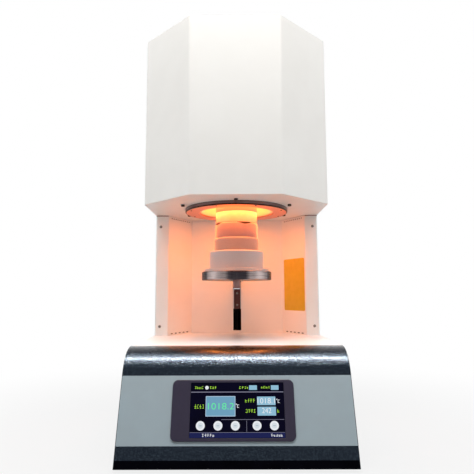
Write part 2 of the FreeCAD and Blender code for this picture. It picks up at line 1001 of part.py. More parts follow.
def lift_motor():
    """Square stepping motor: laminated middle between two end caps, round pilot boss."""
    half = motor_size / 2
    top = pan_top + motor_height
    corners = [(sx * half, sy * half) for sx in (-1, 1) for sy in (-1, 1)]
    body = block(-half, half, -half, half, pan_top, top)
    body = body.makeFillet(motor_corner / 2, upright_edges(body, corners))
    wide = half + overcut
    waist = block(-wide, wide, -wide, wide, pan_top + motor_cap, top - motor_cap)
    core = block(-half, half, -half, half, pan_top, top)
    core = core.makeChamfer(motor_corner, upright_edges(core, corners))
    body = body.cut(waist.cut(core))
    boss = post(0, 0, top, top + motor_boss_height, motor_boss_radius)
    socket_low = top - shaft_socket - seam
    socket_high = top + motor_boss_height + overcut
    socket = post(0, 0, socket_low, socket_high, shaft_radius + running_gap)
    motor = fused([body, boss]).cut(socket)
    motor.translate(vec(0, lift_axis, 0))
    return motor


def carriage():
    """Block that runs on the guide rods and is driven by the screw."""
    half = carriage_half_width
    y0 = lift_axis - carriage_depth / 2 - seam
    body = block(-half, half, y0, y0 + carriage_depth, carriage_low, tray_low)
    corners = [(sx * half, y) for sx in (-1, 1) for y in (y0, y0 + carriage_depth)]
    body = body.makeChamfer(carriage_chamfer, upright_edges(body, corners))
    low = carriage_low - overcut
    high = tray_low + overcut
    bores = rod_holes(low, high, rod_radius + running_gap)
    bores.append(post(0, lift_axis, low, high, screw_radius + running_gap))
    return body.cut(bores)


def lift_arm():
    """Arm under the tray and the leg that bolts it to the carriage."""
    half = arm_width / 2
    rear = lift_axis - carriage_depth / 2 - seam
    arm = block(-half, half, -arm_reach, rear, arm_low, tray_low)
    corners = [(-half, -arm_reach), (half, -arm_reach)]
    arm = arm.makeFillet(half / 2, upright_edges(arm, corners))
    leg = block(-half, half, rear - arm_leg_depth, rear, carriage_low, tray_low)
    return fused([arm, leg])


def tray_plate():
    """Steel dish that holds the base of the insulation stack."""
    edge = tray_edge
    inner = tray_radius - tray_wall
    return turned(
        [
            (0, tray_low),
            (tray_radius - edge, tray_low),
            (tray_radius, tray_low + edge),
            (tray_radius, tray_top - edge),
            (tray_radius - edge, tray_top),
            (inner, tray_top),
            (inner, tray_low + tray_wall),
            (0, tray_low + tray_wall),
        ]
    )


def stepped_disc(radius, low, high, edge, lower_radius=None, lower_top=None):
    """Insulation disc with a spigot on top, a matching recess below and a rounded rim."""
    spigot = spigot_radius - seam
    points = [(0, low), (radius, low)]
    if lower_top is None:
        points = [(0, low + spigot_height + seam), (spigot_radius, low + spigot_height + seam)]
        points += [(spigot_radius, low), (radius, low)]
    else:
        points = [(0, low), (lower_radius, low), (lower_radius, lower_top), (radius, lower_top)]
    shoulder = edge * rim_share
    points += [(radius, high - edge), (radius - shoulder, high - shoulder), (radius - edge, high)]
    points += [(spigot, high), (spigot, high + spigot_height), (0, high + spigot_height)]
    return turned(points)


def tray_insulation():
    """Insulation disc that fills the dish and stands above it as a lip."""
    filling = tray_radius - tray_wall - seam
    return stepped_disc(lip_radius, tray_low + tray_wall, lip_top, lip_edge, filling, tray_top)


def stack_disc(index):
    """One of the three discs of the insulation stack, counted from below."""
    low = lip_top + sum(stack_heights[:index])
    return stepped_disc(stack_radii[index], low, low + stack_heights[index], stack_edge)


def stack_top():
    return lip_top + sum(stack_heights)


def scalloped_disc():
    """Top disc of the stack, its rim scalloped to let the gas out under the crucible."""
    cuts = []
    for i in range(scallop_count):
        axis = vec(scallop_inner, 0, stack_top() + scallop_radius - scallop_depth)
        scallop = Part.makeCylinder(scallop_radius, crucible_radius, axis, vec(1, 0, 0))
        turn = scallop_turn - 90 + 360 * i / scallop_count
        scallop.rotate(vec(0, 0, 0), vec(0, 0, 1), turn)
        cuts.append(scallop)
    return stack_disc(2).cut(cuts)


def crucible():
    """Round dish on a foot ring, with a recess below for the stack's spigot."""
    low = stack_top()
    floor_low = low + crucible_foot_height
    top = low + crucible_height
    foot_inner = crucible_radius - crucible_foot_wall
    return turned(
        [
            (foot_inner, low),
            (crucible_radius, low),
            (crucible_radius, top),
            (crucible_radius - crucible_wall, top),
            (crucible_radius - crucible_wall, floor_low + crucible_floor),
            (0, floor_low + crucible_floor),
            (0, floor_low),
            (foot_inner, floor_low),
        ]
    )


def crucible_lid():
    """Lid with a spigot inside the crucible's wall and a low knob."""
    low = stack_top() + crucible_height
    spigot = crucible_radius - crucible_wall - seam
    return turned(
        [
            (0, low - lid_spigot),
            (spigot, low - lid_spigot),
            (spigot, low),
            (crucible_radius, low),
            (crucible_radius, low + lid_height - lid_edge),
            (crucible_radius - lid_edge, low + lid_height),
            (lid_knob_radius, low + lid_height),
            (lid_knob_radius, low + lid_height + lid_knob_height),
            (0, low + lid_height + lid_knob_height),
        ]
    )


def fan_frame():
    """Square fan frame with a round duct and four struts that carry the motor's seat."""
    half = fan_size / 2
    y1 = rear_reach - rear_panel_sheet
    frame = rounded_plate(fan_size, fan_size, fan_depth, fan_corner)
    frame = frame.cut(post(0, 0, -overcut, fan_depth + overcut, fan_bore))
    seat = post(0, 0, 0, fan_strut_depth, fan_hub_radius)
    pin = post(0, 0, 0, fan_depth - 2 * fan_strut_depth, fan_pin_radius)
    wide = fan_strut_width / 2
    reach = (half + fan_bore) / 2
    strut = block(-reach, reach, -wide, wide, 0, fan_strut_depth)
    cross = strut.copy()
    cross.rotate(vec(0, 0, 0), vec(0, 0, 1), 90)
    frame = fused([frame, seat, pin, strut, cross])
    return faced_back(frame, fan_across, y1, fan_up)


def fan_rotor():
    """Fan hub with pitched blades."""
    y1 = rear_reach - rear_panel_sheet
    low = fan_strut_depth + seam
    high = fan_depth - fan_strut_depth
    hub = post(0, 0, low, high, fan_hub_radius)
    tip = fan_bore - fan_tip_gap
    blades = []
    for i in range(fan_blade_count):
        depth = (high - low) / math.cos(math.radians(fan_blade_pitch))
        half = fan_blade_sheet / 2
        root = fan_hub_radius - fan_blade_sheet
        blade = block(root, tip + overcut, -half, half, -depth / 2, depth / 2)
        blade.rotate(vec(0, 0, 0), vec(1, 0, 0), fan_blade_pitch)
        blade.translate(vec(0, 0, (low + high) / 2))
        blade.rotate(vec(0, 0, 0), vec(0, 0, 1), 360 * i / fan_blade_count)
        blades.append(blade)
    swept = post(0, 0, low, high, tip)
    rotor = fused([hub] + blades).common(swept)
    bore_top = fan_depth - 2 * fan_strut_depth + seam
    bore = post(0, 0, low - overcut, bore_top, fan_pin_radius + running_gap)
    return faced_back(rotor.cut(bore), fan_across, y1, fan_up)


def fan_guard():
    """Flat finger guard outside the rear panel: rings joined by four arms."""
    outer = fan_bore + 2 * guard_ring_width
    pieces = []
    for i in range(guard_ring_count):
        radius = outer - i * guard_ring_pitch
        ring = post(0, 0, 0, guard_sheet, radius)
        hole = post(0, 0, -overcut, guard_sheet + overcut, radius - guard_ring_width)
        pieces.append(ring.cut(hole))
    inner = outer - guard_ring_count * guard_ring_pitch
    pieces.append(post(0, 0, 0, guard_sheet, inner + guard_ring_width))
    wide = guard_arm_width / 2
    middle = outer - guard_ring_width / 2
    for angle in (45, 135):
        arm = block(-middle, middle, -wide, wide, 0, guard_sheet)
        arm.rotate(vec(0, 0, 0), vec(0, 0, 1), angle)
        pieces.append(arm)
    return faced_back(fused(pieces), fan_across, rear_reach + guard_sheet, fan_up)


def switch_body(gap, y0, y1):
    """Block of the switch's body behind its flange, grown by a gap."""
    half_w = switch_width / 2 - switch_flange + gap
    half_h = switch_height / 2 - switch_flange + gap
    return block(
        switch_across - half_w, switch_across + half_w, y0, y1, switch_up - half_h, switch_up + half_h
    )


def switch_axis():
    """Y of the rocker's axis."""
    return rear_reach - rocker_axis_sink


def switch_frame():
    """Switch housing with a flange on the panel and a well for the rocker."""
    y0 = rear_reach - switch_body_depth
    flange = block(
        switch_across - switch_width / 2,
        switch_across + switch_width / 2,
        rear_reach,
        rear_reach + switch_flange,
        switch_up - switch_height / 2,
        switch_up + switch_height / 2,
    )
    body = switch_body(0, y0, rear_reach)
    half = rocker_half_width + rocker_side_gap
    axis = switch_axis()
    round_half = rocker_radius + loose_gap
    well = rod_across(switch_across - half, switch_across + half, axis, switch_up, round_half)
    mouth = block(
        switch_across - half,
        switch_across + half,
        axis,
        axis + 2 * round_half,
        switch_up - round_half,
        switch_up + round_half,
    )
    reach = half + rocker_side_gap
    pin = rod_across(switch_across - reach, switch_across + reach, axis, switch_up, rocker_pin_radius)
    return fused([fused([flange, body]).cut([well, mouth]), pin])


def switch_rocker():
    """Rocker with a shallow V face, its upper half pressed in at rest."""
    x0 = switch_across - rocker_half_width
    x1 = switch_across + rocker_half_width
    rocker = rod_across(x0, x1, 0, 0, rocker_radius)
    far = 2 * rocker_radius
    for side in (-1, 1):
        tool = block(x0 - overcut, x1 + overcut, rocker_crown, far + rocker_crown, -far, far)
        tool.rotate(vec(0, 0, 0), vec(1, 0, 0), side * rocker_tilt)
        rocker = rocker.cut(tool)
    rocker = rocker.cut(block(x0 - overcut, x1 + overcut, -far, -rocker_sink, -far, far))
    rocker = rocker.cut(rod_across(x0 - overcut, x1 + overcut, 0, 0, rocker_pin_radius + running_gap))
    rocker.rotate(vec(0, 0, 0), vec(1, 0, 0), rocker_tilt)
    rocker.translate(vec(0, switch_axis(), switch_up))
    return rocker


def cable_gland():
    """Cable gland: hexagon on the panel, domed nut, thread through the panel, closed seal."""
    radius = gland_hex / 2 / math.cos(math.radians(30))
    corners = [
        (radius * math.cos(math.radians(60 * i)), radius * math.sin(math.radians(60 * i))) for i in range(6)
    ]
    hexagon = prism(corners, 0, gland_hex_depth)
    dome = post(0, 0, gland_hex_depth, gland_depth, gland_radius)
    rims = [edge for edge in dome.Edges if edge.BoundBox.ZMin > gland_depth - 0.01]
    dome = dome.makeFillet(gland_edge, rims)
    thread = post(0, 0, -gland_thread_depth, 0, gland_thread_radius)
    gland = fused([hexagon, dome, thread])
    gland = gland.cut(post(0, 0, gland_depth - gland_seal_sink, gland_depth + overcut, gland_seal_radius))
    gland.rotate(vec(0, 0, 0), vec(1, 0, 0), -90)
    gland.translate(vec(gland_across, rear_reach, gland_up))
    return gland


def transformer():
    """Laminated core with two windows and the coil round its middle leg."""
    half = core_width / 2
    base = pan_top
    y0 = -transformer_front - core_depth / 2
    y1 = y0 + core_depth
    core = block(-half, half, y0, y1, base, base + core_height)
    window_width = (core_width - 4 * core_leg) / 2
    windows = []
    for side in (-1, 1):
        x0, x1 = sorted((side * core_leg, side * (core_leg + window_width)))
        window = block(x0, x1, y0 - overcut, y1 + overcut, base + core_leg, base + core_height - core_leg)
        windows.append(window)
    core = core.cut(windows)
    outer = core_leg + window_width - coil_gap
    low = base + core_leg + coil_gap
    high = base + core_height - core_leg - coil_gap
    coil = block(-outer, outer, y0 - coil_reach, y1 + coil_reach, low, high)
    corners = [(sx * outer, y) for sx in (-1, 1) for y in (y0 - coil_reach, y1 + coil_reach)]
    coil = coil.makeFillet(coil_corner, upright_edges(coil, corners))
    leg = core_leg + coil_gap
    coil = coil.cut(block(-leg, leg, y0 - coil_gap, y1 + coil_gap, low - overcut, high + overcut))
    both = Part.makeCompound([core, coil])
    both.translate(vec(transformer_across, 0, 0))
    return both


def power_regulator():
    """Finned heat sink on the pan with two power modules on its flat side."""
    half = sink_width / 2
    y0 = -sink_front - sink_length / 2
    fin_top = pan_top + sink_fin_height
    pieces = [block(-half, half, y0, y0 + sink_length, fin_top, fin_top + sink_base)]
    pitch = (sink_width - sink_fin_sheet) / (sink_fin_count - 1)
    for i in range(sink_fin_count):
        x = -half + i * pitch
        pieces.append(block(x, x + sink_fin_sheet, y0, y0 + sink_length, pan_top, fin_top))
    top = fin_top + sink_base
    margin = (sink_length - power_module_length) / 2
    for side in (-1, 1):
        x = side * power_module_spread - power_module_width / 2
        pieces.append(
            block(
                x,
                x + power_module_width,
                y0 + margin,
                y0 + margin + power_module_length,
                top,
                top + power_module_height,
            )
        )
    regulator = fused(pieces)
    regulator.translate(vec(sink_across, 0, 0))
    return regulator


def control_board():
    """Circuit board on four posts, with relays and capacitors."""
    half = board_width / 2
    low = pan_top + board_post_height
    top = low + board_sheet
    y0 = 0
    y1 = board_length
    pieces = [block(-half, half, y0, y1, low, top)]
    for sx in (-1, 1):
        for y in (y0 + board_post_inset, y1 - board_post_inset):
            pieces.append(post(sx * (half - board_post_inset), y, pan_top, low, board_post_radius))
    relay_rear = y1 - 2 * relay_width
    relay_front = relay_rear - relay_length
    for i in range(relay_count):
        x = -half + relay_width + i * relay_pitch
        pieces.append(block(x, x + relay_width, relay_front, relay_rear, top, top + relay_height))
    y = y0 + 2 * capacitor_radius
    for i in range(capacitor_count):
        x = -half + relay_width + capacitor_radius + i * capacitor_pitch
        pieces.append(post(x, y, top, top + capacitor_height, capacitor_radius))
    board = fused(pieces)
    board.translate(vec(board_across, board_front - board_length, 0))
    return board


def nodes():
    """Every sub-part by its node name."""
    shapes = {
        "base_pan": base_pan(),
        "base_cabinet": base_cabinet(),
        "rear_panel": rear_panel(),
        "front_cover": front_cover(),
        "control_panel": control_panel(),
        "kick_strip": kick_strip(),
        "display_bezel": display_bezel(),
        "display_glass": display_glass(),
        "display_module": display_module(),
        "column_left": column(-1),
        "column_right": column(1),
        "alcove_liner": alcove_liner(),
        "rear_cover": rear_cover(),
        "housing_shell": housing_shell(),
        "housing_top": housing_top(),
        "housing_floor": housing_floor(),
        "mouth_ring": mouth_ring(),
        "throat_ring": throat_ring(),
        "chamber_roof": chamber_roof(),
        "chamber_casing": chamber_casing(),
        "element_clamps": element_clamps(),
        "thermocouple": thermocouple(),
        "lift_spine": lift_spine(),
        "lower_block": lower_block(),
        "upper_block": upper_block(),
        "guide_rod_left": guide_rod(-1),
        "guide_rod_right": guide_rod(1),
        "lead_screw": lead_screw(),
        "motor_shaft": motor_shaft(),
        "screw_coupler": screw_coupler(),
        "lift_motor": lift_motor(),
        "carriage": carriage(),
        "lift_arm": lift_arm(),
        "tray_plate": tray_plate(),
        "tray_insulation": tray_insulation(),
        "crucible": crucible(),
        "crucible_lid": crucible_lid(),
        "fan_frame": fan_frame(),
        "fan_rotor": fan_rotor(),
        "fan_guard": fan_guard(),
        "switch_frame": switch_frame(),
        "switch_rocker": switch_rocker(),
        "cable_gland": cable_gland(),
        "transformer": transformer(),
        "power_regulator": power_regulator(),
        "control_board": control_board(),
    }
    foot_x = cabinet_width / 2 - foot_inset_side
    foot_rows = {"front": foot_inset_front - cover_reach, "rear": rear_reach - foot_inset_rear}
    for row, y in foot_rows.items():
        shapes["foot_" + row + "_left"] = foot(-foot_x, y)
        shapes["foot_" + row + "_right"] = foot(foot_x, y)
    for i in range(insulation_count):
        shapes["insulation_ring_" + str(i + 1)] = insulation_ring(i)
    for i, angle in enumerate(element_places()):
        shapes["heating_element_" + str(i + 1)] = heating_element(angle)
    for i, name in enumerate(("stack_lower", "stack_middle")):
        shapes[name] = stack_disc(i)
    shapes["stack_upper"] = scalloped_disc()
    return shapes


def main():
    os.makedirs("parts", exist_ok=True)
    for name, shape in nodes().items():
        shape.exportStep("parts/" + name + ".step")
        print(name, len(shape.Solids), shape.isValid(), round(shape.Volume / 1000, 1))


main()
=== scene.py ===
import math
import random

import bmesh
import bpy
from bpy.props import FloatProperty, FloatVectorProperty, IntProperty, PointerProperty, StringProperty
from mathutils import Matrix, Vector


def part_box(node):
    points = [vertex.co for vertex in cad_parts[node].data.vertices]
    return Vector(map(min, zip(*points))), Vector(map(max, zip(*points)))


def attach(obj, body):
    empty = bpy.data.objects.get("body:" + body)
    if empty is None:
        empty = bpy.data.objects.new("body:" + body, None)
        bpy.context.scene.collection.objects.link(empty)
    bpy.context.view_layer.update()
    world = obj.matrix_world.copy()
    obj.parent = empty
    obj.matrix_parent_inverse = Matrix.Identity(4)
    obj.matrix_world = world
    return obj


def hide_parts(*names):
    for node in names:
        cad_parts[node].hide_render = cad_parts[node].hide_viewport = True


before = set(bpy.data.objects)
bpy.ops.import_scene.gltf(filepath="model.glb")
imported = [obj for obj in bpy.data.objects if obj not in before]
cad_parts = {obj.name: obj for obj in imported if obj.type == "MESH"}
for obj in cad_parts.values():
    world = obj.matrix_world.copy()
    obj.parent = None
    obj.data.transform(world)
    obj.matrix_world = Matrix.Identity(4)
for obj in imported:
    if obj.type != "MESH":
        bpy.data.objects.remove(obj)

bl_info = {
    "name": "Sintering furnace looks",
    "version": (1, 0, 0),
    "blender": (4, 5, 0),
    "location": "View3D > Sidebar > Furnace",
    "description": "Finishes, fasteners, screen and stage for a bench sintering furnace",
    "category": "Object",
}

MM = 0.001
SIDES = (-1, 1)
CREASE = math.radians(35)

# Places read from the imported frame
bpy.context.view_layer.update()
GLASS_LOW, GLASS_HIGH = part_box("display_glass")
RING_LOW, RING_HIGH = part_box("mouth_ring")
ARM_LOW, ARM_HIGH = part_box("lift_arm")
FLOOR_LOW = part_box("housing_floor")[0].z
DECK_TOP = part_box("column_left")[0].z
COLUMN_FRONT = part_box("column_left")[0].y
COLUMN_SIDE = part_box("column_right")[1].x
TOWER_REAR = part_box("rear_cover")[1].y
PANEL_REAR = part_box("rear_panel")[1].y
CABINET_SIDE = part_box("base_cabinet")[1].x
TOP_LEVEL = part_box("housing_top")[1].z

# Shape of CAD pieces that their boxes don't give
WALL_FRONT, WALL_BACK = (0.1566, 0.0759), (0.1109, 0.1555)   # edges of the right angled wall, in the bay
WALL_LENGTH = math.dist(WALL_FRONT, WALL_BACK)
SLOPE = math.radians(19.4)                                   # lean of the sloping front
GLASS_OUT = 1.2 * MM                                         # from the glass's middle to its outer face
LEG_DEPTH = 9.5 * MM                                         # the lift arm's leg, front to back
ARM_UNDERSIDE = ARM_LOW.z + 47.6 * MM
RING_MIDDLE = RING_LOW.z + 4.9 * MM

# Screw places
COLUMN_SCREW_INSET = 11.2 * MM
COLUMN_SCREW_LEVELS = (0.2056, 0.4321)
ARM_SCREW_LEVELS = (0.2794, 0.2510)
PANEL_SCREW_PLACES = (-0.182, -0.061, 0.061, 0.182)
PANEL_SCREW_LEVELS = (0.016, 0.174)
TOWER_SCREW_PLACES = (-0.178, 0.178)
TOWER_SCREW_LEVELS = (0.21, 0.33, 0.445, 0.55, 0.67, 0.785)
CABINET_SCREW_DEPTHS = (-0.10, 0.05, 0.20)
CABINET_SCREW_LEVEL = 0.0145
HOUSING_SCREW_DEPTHS = (-0.04, 0.08, 0.20)
HOUSING_SCREW_DROP = 0.009
FAN_SCREW_REACH = 0.0357

# Painted shadow strips behind the vent rows: lowest and highest level, and how far behind the bay's face
VENT_SHADOW_ROWS = (
    (FLOOR_LOW - 9.0 * MM, FLOOR_LOW - 1.0 * MM, 0.3 * MM),
    (DECK_TOP + 1.0 * MM, DECK_TOP + 12.0 * MM, 1.5 * MM),
)


def colour_prop(name, default, description):
    return FloatVectorProperty(
        name=name, subtype="COLOR", size=3, min=0.0, max=1.0, default=default, description=description
    )


def length_prop(name, default, description):
    return FloatProperty(
        name=name, subtype="DISTANCE", unit="LENGTH", min=0.0, default=default, description=description
    )


def number_prop(name, default, description, **limits):
    return FloatProperty(name=name, default=default, description=description, **limits)


class FurnaceFinish(bpy.types.PropertyGroup):
    """Colours of the furnace's visible finishes."""

    sheet: colour_prop("Sheet paint", (0.82, 0.81, 0.78), "White powder coat of the housing and columns")
    deck: colour_prop("Deck paint", (0.86, 0.87, 0.88), "Glossy white of the base cabinet")
    hammer_dark: colour_prop("Hammertone ground", (0.001, 0.005, 0.013), "Darkest blue-grey of the cover")
    hammer_light: colour_prop("Hammertone fleck", (0.005, 0.016, 0.029), "Lightest fleck of the cover")
    panel: colour_prop("Control panel", (0.266, 0.332, 0.368), "Grey film on the sloping front")
    strip: colour_prop("Kick strip", (0.0012, 0.0012, 0.0022), "Black strip at the foot of the cover")
    bezel: colour_prop("Screen bezel", (0.028, 0.023, 0.045), "Plastic frame round the screen")
    amber: colour_prop("Bay plate", (0.60, 0.41, 0.011), "Plain amber plate on the angled wall")
    glow: colour_prop("Chamber glow", (1.0, 0.76, 0.14), "Light of the hot chamber walls")
    ember: colour_prop("Mouth glow", (1.0, 0.16, 0.02), "Light of the cooler insulation near the mouth")
    glow_strength: number_prop("Glow strength", 0.85, "Emission of the hottest surfaces", min=0.0)


class FurnaceFasteners(bpy.types.PropertyGroup):
    """Sizes of the screw heads."""

    pan_radius: length_prop("Pan head", 2.7 * MM, "Radius of the arm and cover screws")
    column_radius: length_prop("Column screws", 3.2 * MM, "Radius of the column screws")
    cap_radius: length_prop("Cap head", 3.8 * MM, "Radius of the socket screws round the mouth")
    ring_radius: length_prop("Ring screws", 1.6 * MM, "Radius of the small screws in the mouth ring")
    cap_circle: length_prop("Cap screw circle", 124.8 * MM, "Radius of the circle of socket screws")
    ring_circle: length_prop("Ring screw circle", 101.0 * MM, "Radius of the circle of ring screws")
    seed: IntProperty(name="Turn seed", default=7, min=0, description="Seed of the turn of each slot")


class FurnaceScreen(bpy.types.PropertyGroup):
    """What the touch screen shows."""

    main_value: StringProperty(name="Main value", default="1018.2", description="Large reading on the left")
    upper_value: StringProperty(name="Upper value", default="1018.1", description="Upper right reading")
    lower_value: StringProperty(name="Lower value", default="242", description="Lower right reading")
    sheet: length_prop("Picture thickness", 0.10 * MM, "Thickness of the picture's raised layer")


class FurnaceStage(bpy.types.PropertyGroup):
    """Camera and light."""

    camera_place: FloatVectorProperty(
        name="Camera place", subtype="TRANSLATION", unit="LENGTH", size=3, default=(0.00606, -1.0177, 0.2785),
        description="Where the camera stands",
    )
    camera_lens: number_prop("Lens", 36.304, "Focal length in millimetres", min=10.0)
    camera_rise: number_prop("Rise", 6.75, "Degrees that the camera looks up")
    camera_turn: number_prop("Turn", 0.28, "Degrees that the camera turns left")
    camera_roll: number_prop("Roll", -0.25, "Degrees that the camera rolls")
    sky: number_prop("Room light", 0.36, "Strength of the even light from all round", min=0.0)
    key: number_prop("Key lamp", 18.5, "Power of the large lamp in front", min=0.0)
    strip: number_prop("Strip lamp", 15.0, "Power of the long lamp overhead", min=0.0)
    gleam: number_prop("Gleam lamp", 140.0, "Power of the long lamp that only shows in gloss", min=0.0)
    side: number_prop("Side lamps", 2.5, "Power of each tall lamp at the side", min=0.0)
    rear: number_prop("Rear lamp", 9.0, "Power of the large lamp behind", min=0.0)
    glow: number_prop("Mouth lamp", 1.47, "Power of the warm light from the mouth", min=0.0)


def fill(tree, sockets, values):
    """Links or sets sockets by name or index."""
    for key, value in values.items():
        if isinstance(value, bpy.types.NodeSocket):
            tree.links.new(value, sockets[key])
        else:
            sockets[key].default_value = value


def feed(tree, sockets, **values):
    """Links or sets sockets, each named by a keyword such as base_color."""
    for key, value in values.items():
        fill(tree, sockets, {key.replace("_", " ").title().replace("Ior", "IOR"): value})


def add_node(tree, kind, inputs=None, **settings):
    """One node with its settings, its inputs linked or set by name or index."""
    made = tree.nodes.new(kind)
    for name, value in settings.items():
        setattr(made, name, value)
    fill(tree, made.inputs, inputs or {})
    return made


def maths(tree, operation, *values):
    return add_node(tree, "ShaderNodeMath", dict(enumerate(values)), operation=operation).outputs[0]


def vector_maths(tree, operation, inputs):
    return add_node(tree, "ShaderNodeVectorMath", inputs, operation=operation).outputs


def fit(tree, value, low, high, new_low=0.0, new_high=1.0):
    """Value taken smoothly from one range to another."""
    inputs = {"Value": value, "From Min": low, "From Max": high, "To Min": new_low, "To Max": new_high}
    return add_node(tree, "ShaderNodeMapRange", inputs, interpolation_type="SMOOTHSTEP").outputs[0]


def rgba(colour):
    return (*colour, 1.0)


def blend_colours(tree, share, first, second):
    """Mix of two colours, each an output or three numbers."""
    ends = [end if isinstance(end, bpy.types.NodeSocket) else rgba(end) for end in (first, second)]
    return add_node(tree, "ShaderNodeMix", {0: share, 6: ends[0], 7: ends[1]}, data_type="RGBA").outputs[2]


def object_place(tree):
    return add_node(tree, "ShaderNodeTexCoord").outputs["Object"]


def split(tree, vector):
    return add_node(tree, "ShaderNodeSeparateXYZ", {0: vector}).outputs


def noise(tree, place, scale, detail, **inputs):
    inputs = {"Vector": place, "Scale": scale, "Detail": detail, **inputs}
    return add_node(tree, "ShaderNodeTexNoise", inputs).outputs


def level_off(tree, place):
    """Place with its height taken away."""
    return vector_maths(tree, "MULTIPLY", {0: place, 1: (1.0, 1.0, 0.0)})[0]


def axis_radius(tree, place):
    """Distance from the chamber's axis."""
    return vector_maths(tree, "LENGTH", {0: level_off(tree, place)})["Value"]


def shader_group(name, inputs, outputs):
    """Empty shader group with its sockets; gives the tree and its entry and exit nodes."""
    tree = bpy.data.node_groups.new(name, "ShaderNodeTree")
    for label, value in inputs.items():
        kind = "NodeSocketColor" if isinstance(value, tuple) else "NodeSocketFloat"
        tree.interface.new_socket(name=label, in_out="INPUT", socket_type=kind).default_value = value
    for label in outputs:
        kind = "NodeSocketColor" if label == "Colour" else "NodeSocketFloat"
        tree.interface.new_socket(name=label, in_out="OUTPUT", socket_type=kind)
    return tree, tree.nodes.new("NodeGroupInput").outputs, tree.nodes.new("NodeGroupOutput").inputs


def mottle_group():
    """Cloudy colour and roughness with a fine grain, for paint, plastic and cast metal."""
    tree, given, out = shader_group(
        "mottled_finish",
        {
            "Colour": (0.8, 0.8, 0.8, 1.0), "Second Colour": (0.7, 0.7, 0.7, 1.0), "Patch Size": 0.04,
            "Grain Size": 0.001, "Rough Low": 0.3, "Rough High": 0.4,
        },
        ("Colour", "Roughness", "Height"),
    )
    place = object_place(tree)
    cloud = noise(tree, place, maths(tree, "DIVIDE", 1.0, given["Patch Size"]), 3.0)[0]
    grain = noise(tree, place, maths(tree, "DIVIDE", 1.0, given["Grain Size"]), 2.0)[0]
    share = fit(tree, cloud, 0.35, 0.65)
    speckled = maths(tree, "MULTIPLY_ADD", grain, 0.25, maths(tree, "MULTIPLY", share, 0.75))
    gloss = {"Value": share, "To Min": given["Rough Low"], "To Max": given["Rough High"]}
    feed(
        tree, out, colour=blend_colours(tree, speckled, given["Colour"], given["Second Colour"]),
        roughness=add_node(tree, "ShaderNodeMapRange", gloss).outputs[0], height=grain,
    )
    return tree


def hammer_group():
    """Dimples of hammertone paint: rounded cells of uneven size."""
    sizes = {"Cell Size": 0.002, "Unevenness": 0.4}
    tree, given, out = shader_group("hammer_dimples", sizes, ("Height", "Fleck"))
    place = object_place(tree)
    scale = maths(tree, "DIVIDE", 1.0, given["Cell Size"])
    drift = noise(tree, place, scale, 1.0)[1]
    push = vector_maths(tree, "SUBTRACT", {0: drift, 1: (0.5, 0.5, 0.5)})[0]
    reach = maths(tree, "MULTIPLY", given["Cell Size"], given["Unevenness"])
    push = vector_maths(tree, "SCALE", {0: push, "Scale": reach})[0]
    moved = vector_maths(tree, "ADD", {0: place, 1: push})[0]
    inputs = {"Vector": moved, "Scale": scale, "Smoothness": 0.6}
    cells = add_node(tree, "ShaderNodeTexVoronoi", inputs, feature="SMOOTH_F1").outputs["Distance"]
    fleck = noise(tree, place, maths(tree, "MULTIPLY", scale, 0.9), 2.0)[0]
    feed(tree, out, height=fit(tree, cells, 0.1, 0.62), fleck=fit(tree, fleck, 0.42, 0.66))
    return tree


def lathe_group():
    """Fine turning lines round the Z axis, stretched along the cut."""
    tree, given, out = shader_group("lathe_lines", {"Line Size": 0.0006}, ("Streak", "Height"))
    place = object_place(tree)
    x, y, z = split(tree, place)
    scale = maths(tree, "DIVIDE", 1.0, given["Line Size"])
    across = {
        0: maths(tree, "MULTIPLY", axis_radius(tree, place), scale),
        1: maths(tree, "MULTIPLY", maths(tree, "ARCTAN2", y, x), 1.5),
        2: maths(tree, "MULTIPLY", z, scale),
    }
    lines = noise(tree, add_node(tree, "ShaderNodeCombineXYZ", across).outputs[0], 1.0, 3.0)[0]
    feed(tree, out, streak=fit(tree, lines, 0.3, 0.7), height=lines)
    return tree


def fibre_group():
    """Felted fibre board: soft mottle, short fibres and small pits."""
    tree, given, out = shader_group("fibre_board", {"Fibre Size": 0.0015}, ("Shade", "Height"))
    place = object_place(tree)
    scale = maths(tree, "DIVIDE", 1.0, given["Fibre Size"])
    flattened = add_node(tree, "ShaderNodeMapping", {"Vector": place, "Scale": (1.0, 1.0, 2.6)}).outputs[0]
    felt = noise(tree, flattened, scale, 4.0, Distortion=0.8)[0]
    pits = {"Vector": place, "Scale": maths(tree, "MULTIPLY", scale, 0.35)}
    hollow = fit(tree, add_node(tree, "ShaderNodeTexVoronoi", pits).outputs["Distance"], 0.05, 0.22)
    # Painted shade: the pits make the board darker.
    shade = maths(tree, "MULTIPLY", felt, maths(tree, "MULTIPLY_ADD", hollow, 0.3, 0.7))
    feed(tree, out, shade=shade, height=maths(tree, "MULTIPLY", felt, hollow))
    return tree


def heat_group():
    """How hot a surface looks, from its level and its distance from the chamber's axis."""
    sizes = {"Cold Level": 0.44, "Hot Level": 0.5, "Cold Radius": 0.09, "Hot Radius": 0.08}
    tree, given, out = shader_group("heat_glow", sizes, ("Heat",))
    place = object_place(tree)
    level = fit(tree, split(tree, place)[2], given["Cold Level"], given["Hot Level"])
    inside = fit(tree, axis_radius(tree, place), given["Cold Radius"], given["Hot Radius"])
    feed(tree, out, heat=maths(tree, "MULTIPLY", level, inside))
    return tree


GROUP_MAKERS = {
    "mottle": mottle_group, "hammer": hammer_group, "lathe": lathe_group, "fibre": fibre_group,
    "heat": heat_group,
}
GROUPS = {}


def group(tree, name, **inputs):
    """A shader group placed in a material with its own values; returns its outputs."""
    if name not in GROUPS:
        GROUPS[name] = GROUP_MAKERS[name]()
    made = add_node(tree, "ShaderNodeGroup", node_tree=GROUPS[name])
    feed(tree, made.inputs, **inputs)
    return made.outputs


